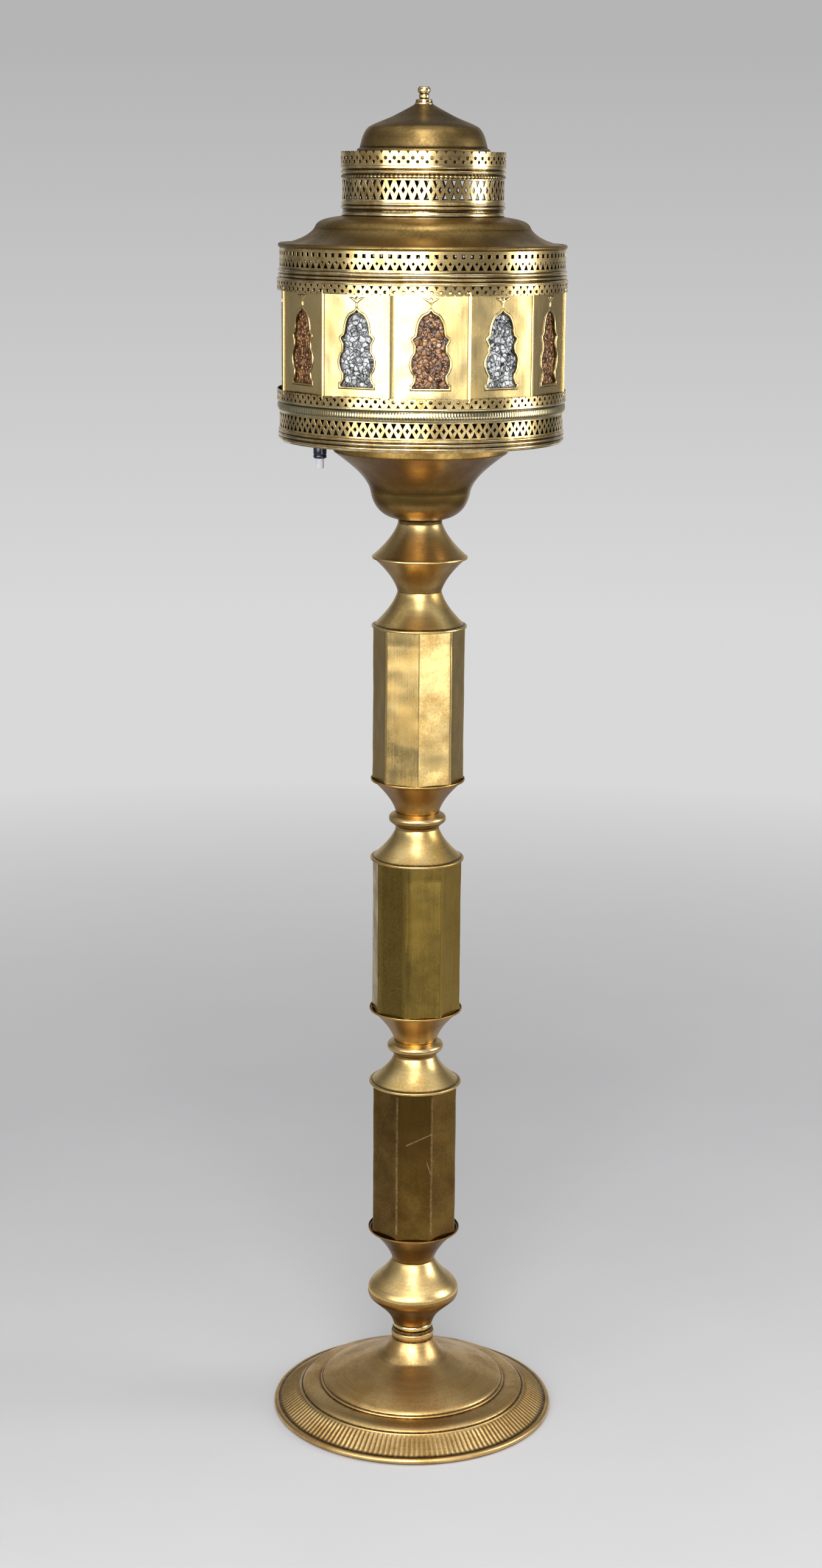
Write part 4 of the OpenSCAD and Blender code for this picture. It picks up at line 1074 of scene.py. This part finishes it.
def beside(name, node, outline, finish, **rest):
    """A part turned about the switch's own axis."""
    points, faces = lathe_mesh(eased(raised(outline, foot(node)), 0.3), 64)
    points = [(x + SWITCH_X, y, z) for x, y, z in points]
    mesh_piece(name, node, points, faces, finish, **rest)


beside("switch_case", "switch_body",
       [(4.9, 0), (6.6, 0), (7.5, 1.1), (7.5, 3.4), (7.1, 3.7), (7.1, 4.6), (7.5, 4.9), (7.5, 19),
        (7.1, 19.3), (7.1, 20.2), (7.5, 20.5), (7.5, 23), (5, 23), (5, 30), (0, 30), (0, 7.4), (5.9, 7.4),
        (5.9, 2), (4.9, 2)], switch_black)
beside("switch_plunger", "switch_button",
       [(0, 0), (3.3, 0), (4.1, 0.4), (4.5, 1.3), (4.5, 13.9), (5.5, 13.9), (5.5, 15.5), (0, 15.5)],
       switch_white, body="push_button")


# ---- Stage ----

def camera_at(place, pitch, yaw, roll, lens):
    """A camera that looks along +Y, pitched down, then turned about Z and rolled, all in degrees."""
    pitch, yaw, roll = math.radians(pitch), math.radians(yaw), math.radians(roll)
    ahead = Vector((-math.sin(yaw) * math.cos(pitch), math.cos(yaw) * math.cos(pitch), -math.sin(pitch)))
    level = Vector((math.cos(yaw), math.sin(yaw), 0))
    up = level.cross(ahead)
    right = level * math.cos(roll) + up * math.sin(roll)
    camera = bpy.data.objects.new("camera", bpy.data.cameras.new("camera"))
    camera.data.lens = lens
    camera.data.sensor_width = 36
    camera.matrix_world = (Matrix.Translation(place)
                           @ Matrix((right, right.cross(ahead), -ahead)).transposed().to_4x4())
    link(camera)
    bpy.context.scene.camera = camera


def soft_box(name, place, target, width, height, power):
    light = bpy.data.objects.new(name, bpy.data.lights.new(name, "AREA"))
    light.data.shape = "RECTANGLE"
    light.data.size = width
    light.data.size_y = height
    light.data.energy = power
    light.location = place
    light.rotation_euler = (Vector(target) - Vector(place)).to_track_quat("-Z", "Y").to_euler()
    link(light)


BACKDROP_LOW = (0.69, 0.69, 0.695)
BACKDROP_HIGH = (0.46, 0.46, 0.465)
CEILING = (0.85, 0.85, 0.855)
WALLS = (0.27, 0.27, 0.275)
DIM = (0.11, 0.11, 0.113)


def backdrop_world():
    """A pale backdrop behind the lamp, a pale ceiling over its front and a dim room with side walls."""
    world = bpy.data.worlds.new("studio")
    world.use_nodes = True
    bpy.context.scene.world = world
    tree = world.node_tree
    x, y, z = parts(tree, put(tree, "TexCoord").outputs["Generated"])
    behind = mix(tree, remap(tree, z, -0.16, 0.05), BACKDROP_LOW, BACKDROP_HIGH)
    walls = mix(tree, remap(tree, calc(tree, "ABSOLUTE", x), 0.8, 0.93), DIM, WALLS)
    room = mix(tree, remap(tree, y, 0.72, 0.92), walls, behind)
    above = times(tree, remap(tree, z, 0.5, 0.85), remap(tree, y, 0.55, 0.15))
    plug(tree, tree.nodes["Background"], {"Color": mix(tree, above, room, CEILING)})


def floor_disc(radius=3.5, corners=60):
    """A pale floor that fades out toward its rim, and sooner in front of the lamp."""
    material, tree, shader, place = new_material("studio_floor")
    cloth = mix(tree, grain(tree, place, 3.0, 4.0), (0.54, 0.54, 0.548), (0.59, 0.59, 0.598))
    plug(tree, shader, {"Roughness": 0.95, "Base Color": cloth})
    front = vector(tree, "MULTIPLY", vector(tree, "MINIMUM", place, (9, 0, 9)), (0.74, 1.1, 0))
    rim = calc(tree, "MAXIMUM", remap(tree, vector(tree, "LENGTH", place), 1.2, 3.4),
               remap(tree, vector(tree, "LENGTH", front), 0.66, 1.12))
    clear = put(tree, "BsdfTransparent").outputs[0]
    fade = put(tree, "MixShader", {0: rim, 1: shader.outputs[0], 2: clear}).outputs[0]
    plug(tree, tree.nodes["Material Output"], {"Surface": fade})
    mesh = bpy.data.meshes.new("studio_floor")
    edge = [2 * math.pi * i / corners for i in range(corners)]
    mesh.from_pydata([(radius * math.cos(a), radius * math.sin(a), 0) for a in edge], [],
                     [tuple(range(corners))])
    mesh.materials.append(material)
    disc = bpy.data.objects.new("studio_floor", mesh)
    link(disc)


camera_at((0, -2.938, 1.448), 12.959, 0.150, 0.507, 59.987)
soft_box("left_box", (-1.65, -2.6, 1.35), (0, 0, 1.0), 2.8, 1.6, 52)
soft_box("right_box", (2.6, -0.2, 1.4), (0, 0, 1.1), 1.0, 1.5, 30)
soft_box("low_box", (1.5, -2.2, 0.6), (0, 0, 0.8), 1.6, 0.7, 7)
soft_box("middle_box", (-0.05, -3.5, 1.35), (0, 0, 0.8), 0.8, 0.9, 12)
soft_box("cone_box", (0, -3.4, 1.75), (0, 0, 0.5), 1.1, 0.5, 15)
soft_box("high_box", (0, -3.2, 2.5), (0, 0, 0.7), 2.2, 1.4, 60)
soft_box("top_box", (0, -1.4, 3.0), (0, 0, 0.7), 0.8, 1.3, 13)
backdrop_world()
floor_disc()
bpy.context.scene.view_settings.view_transform = "Standard"
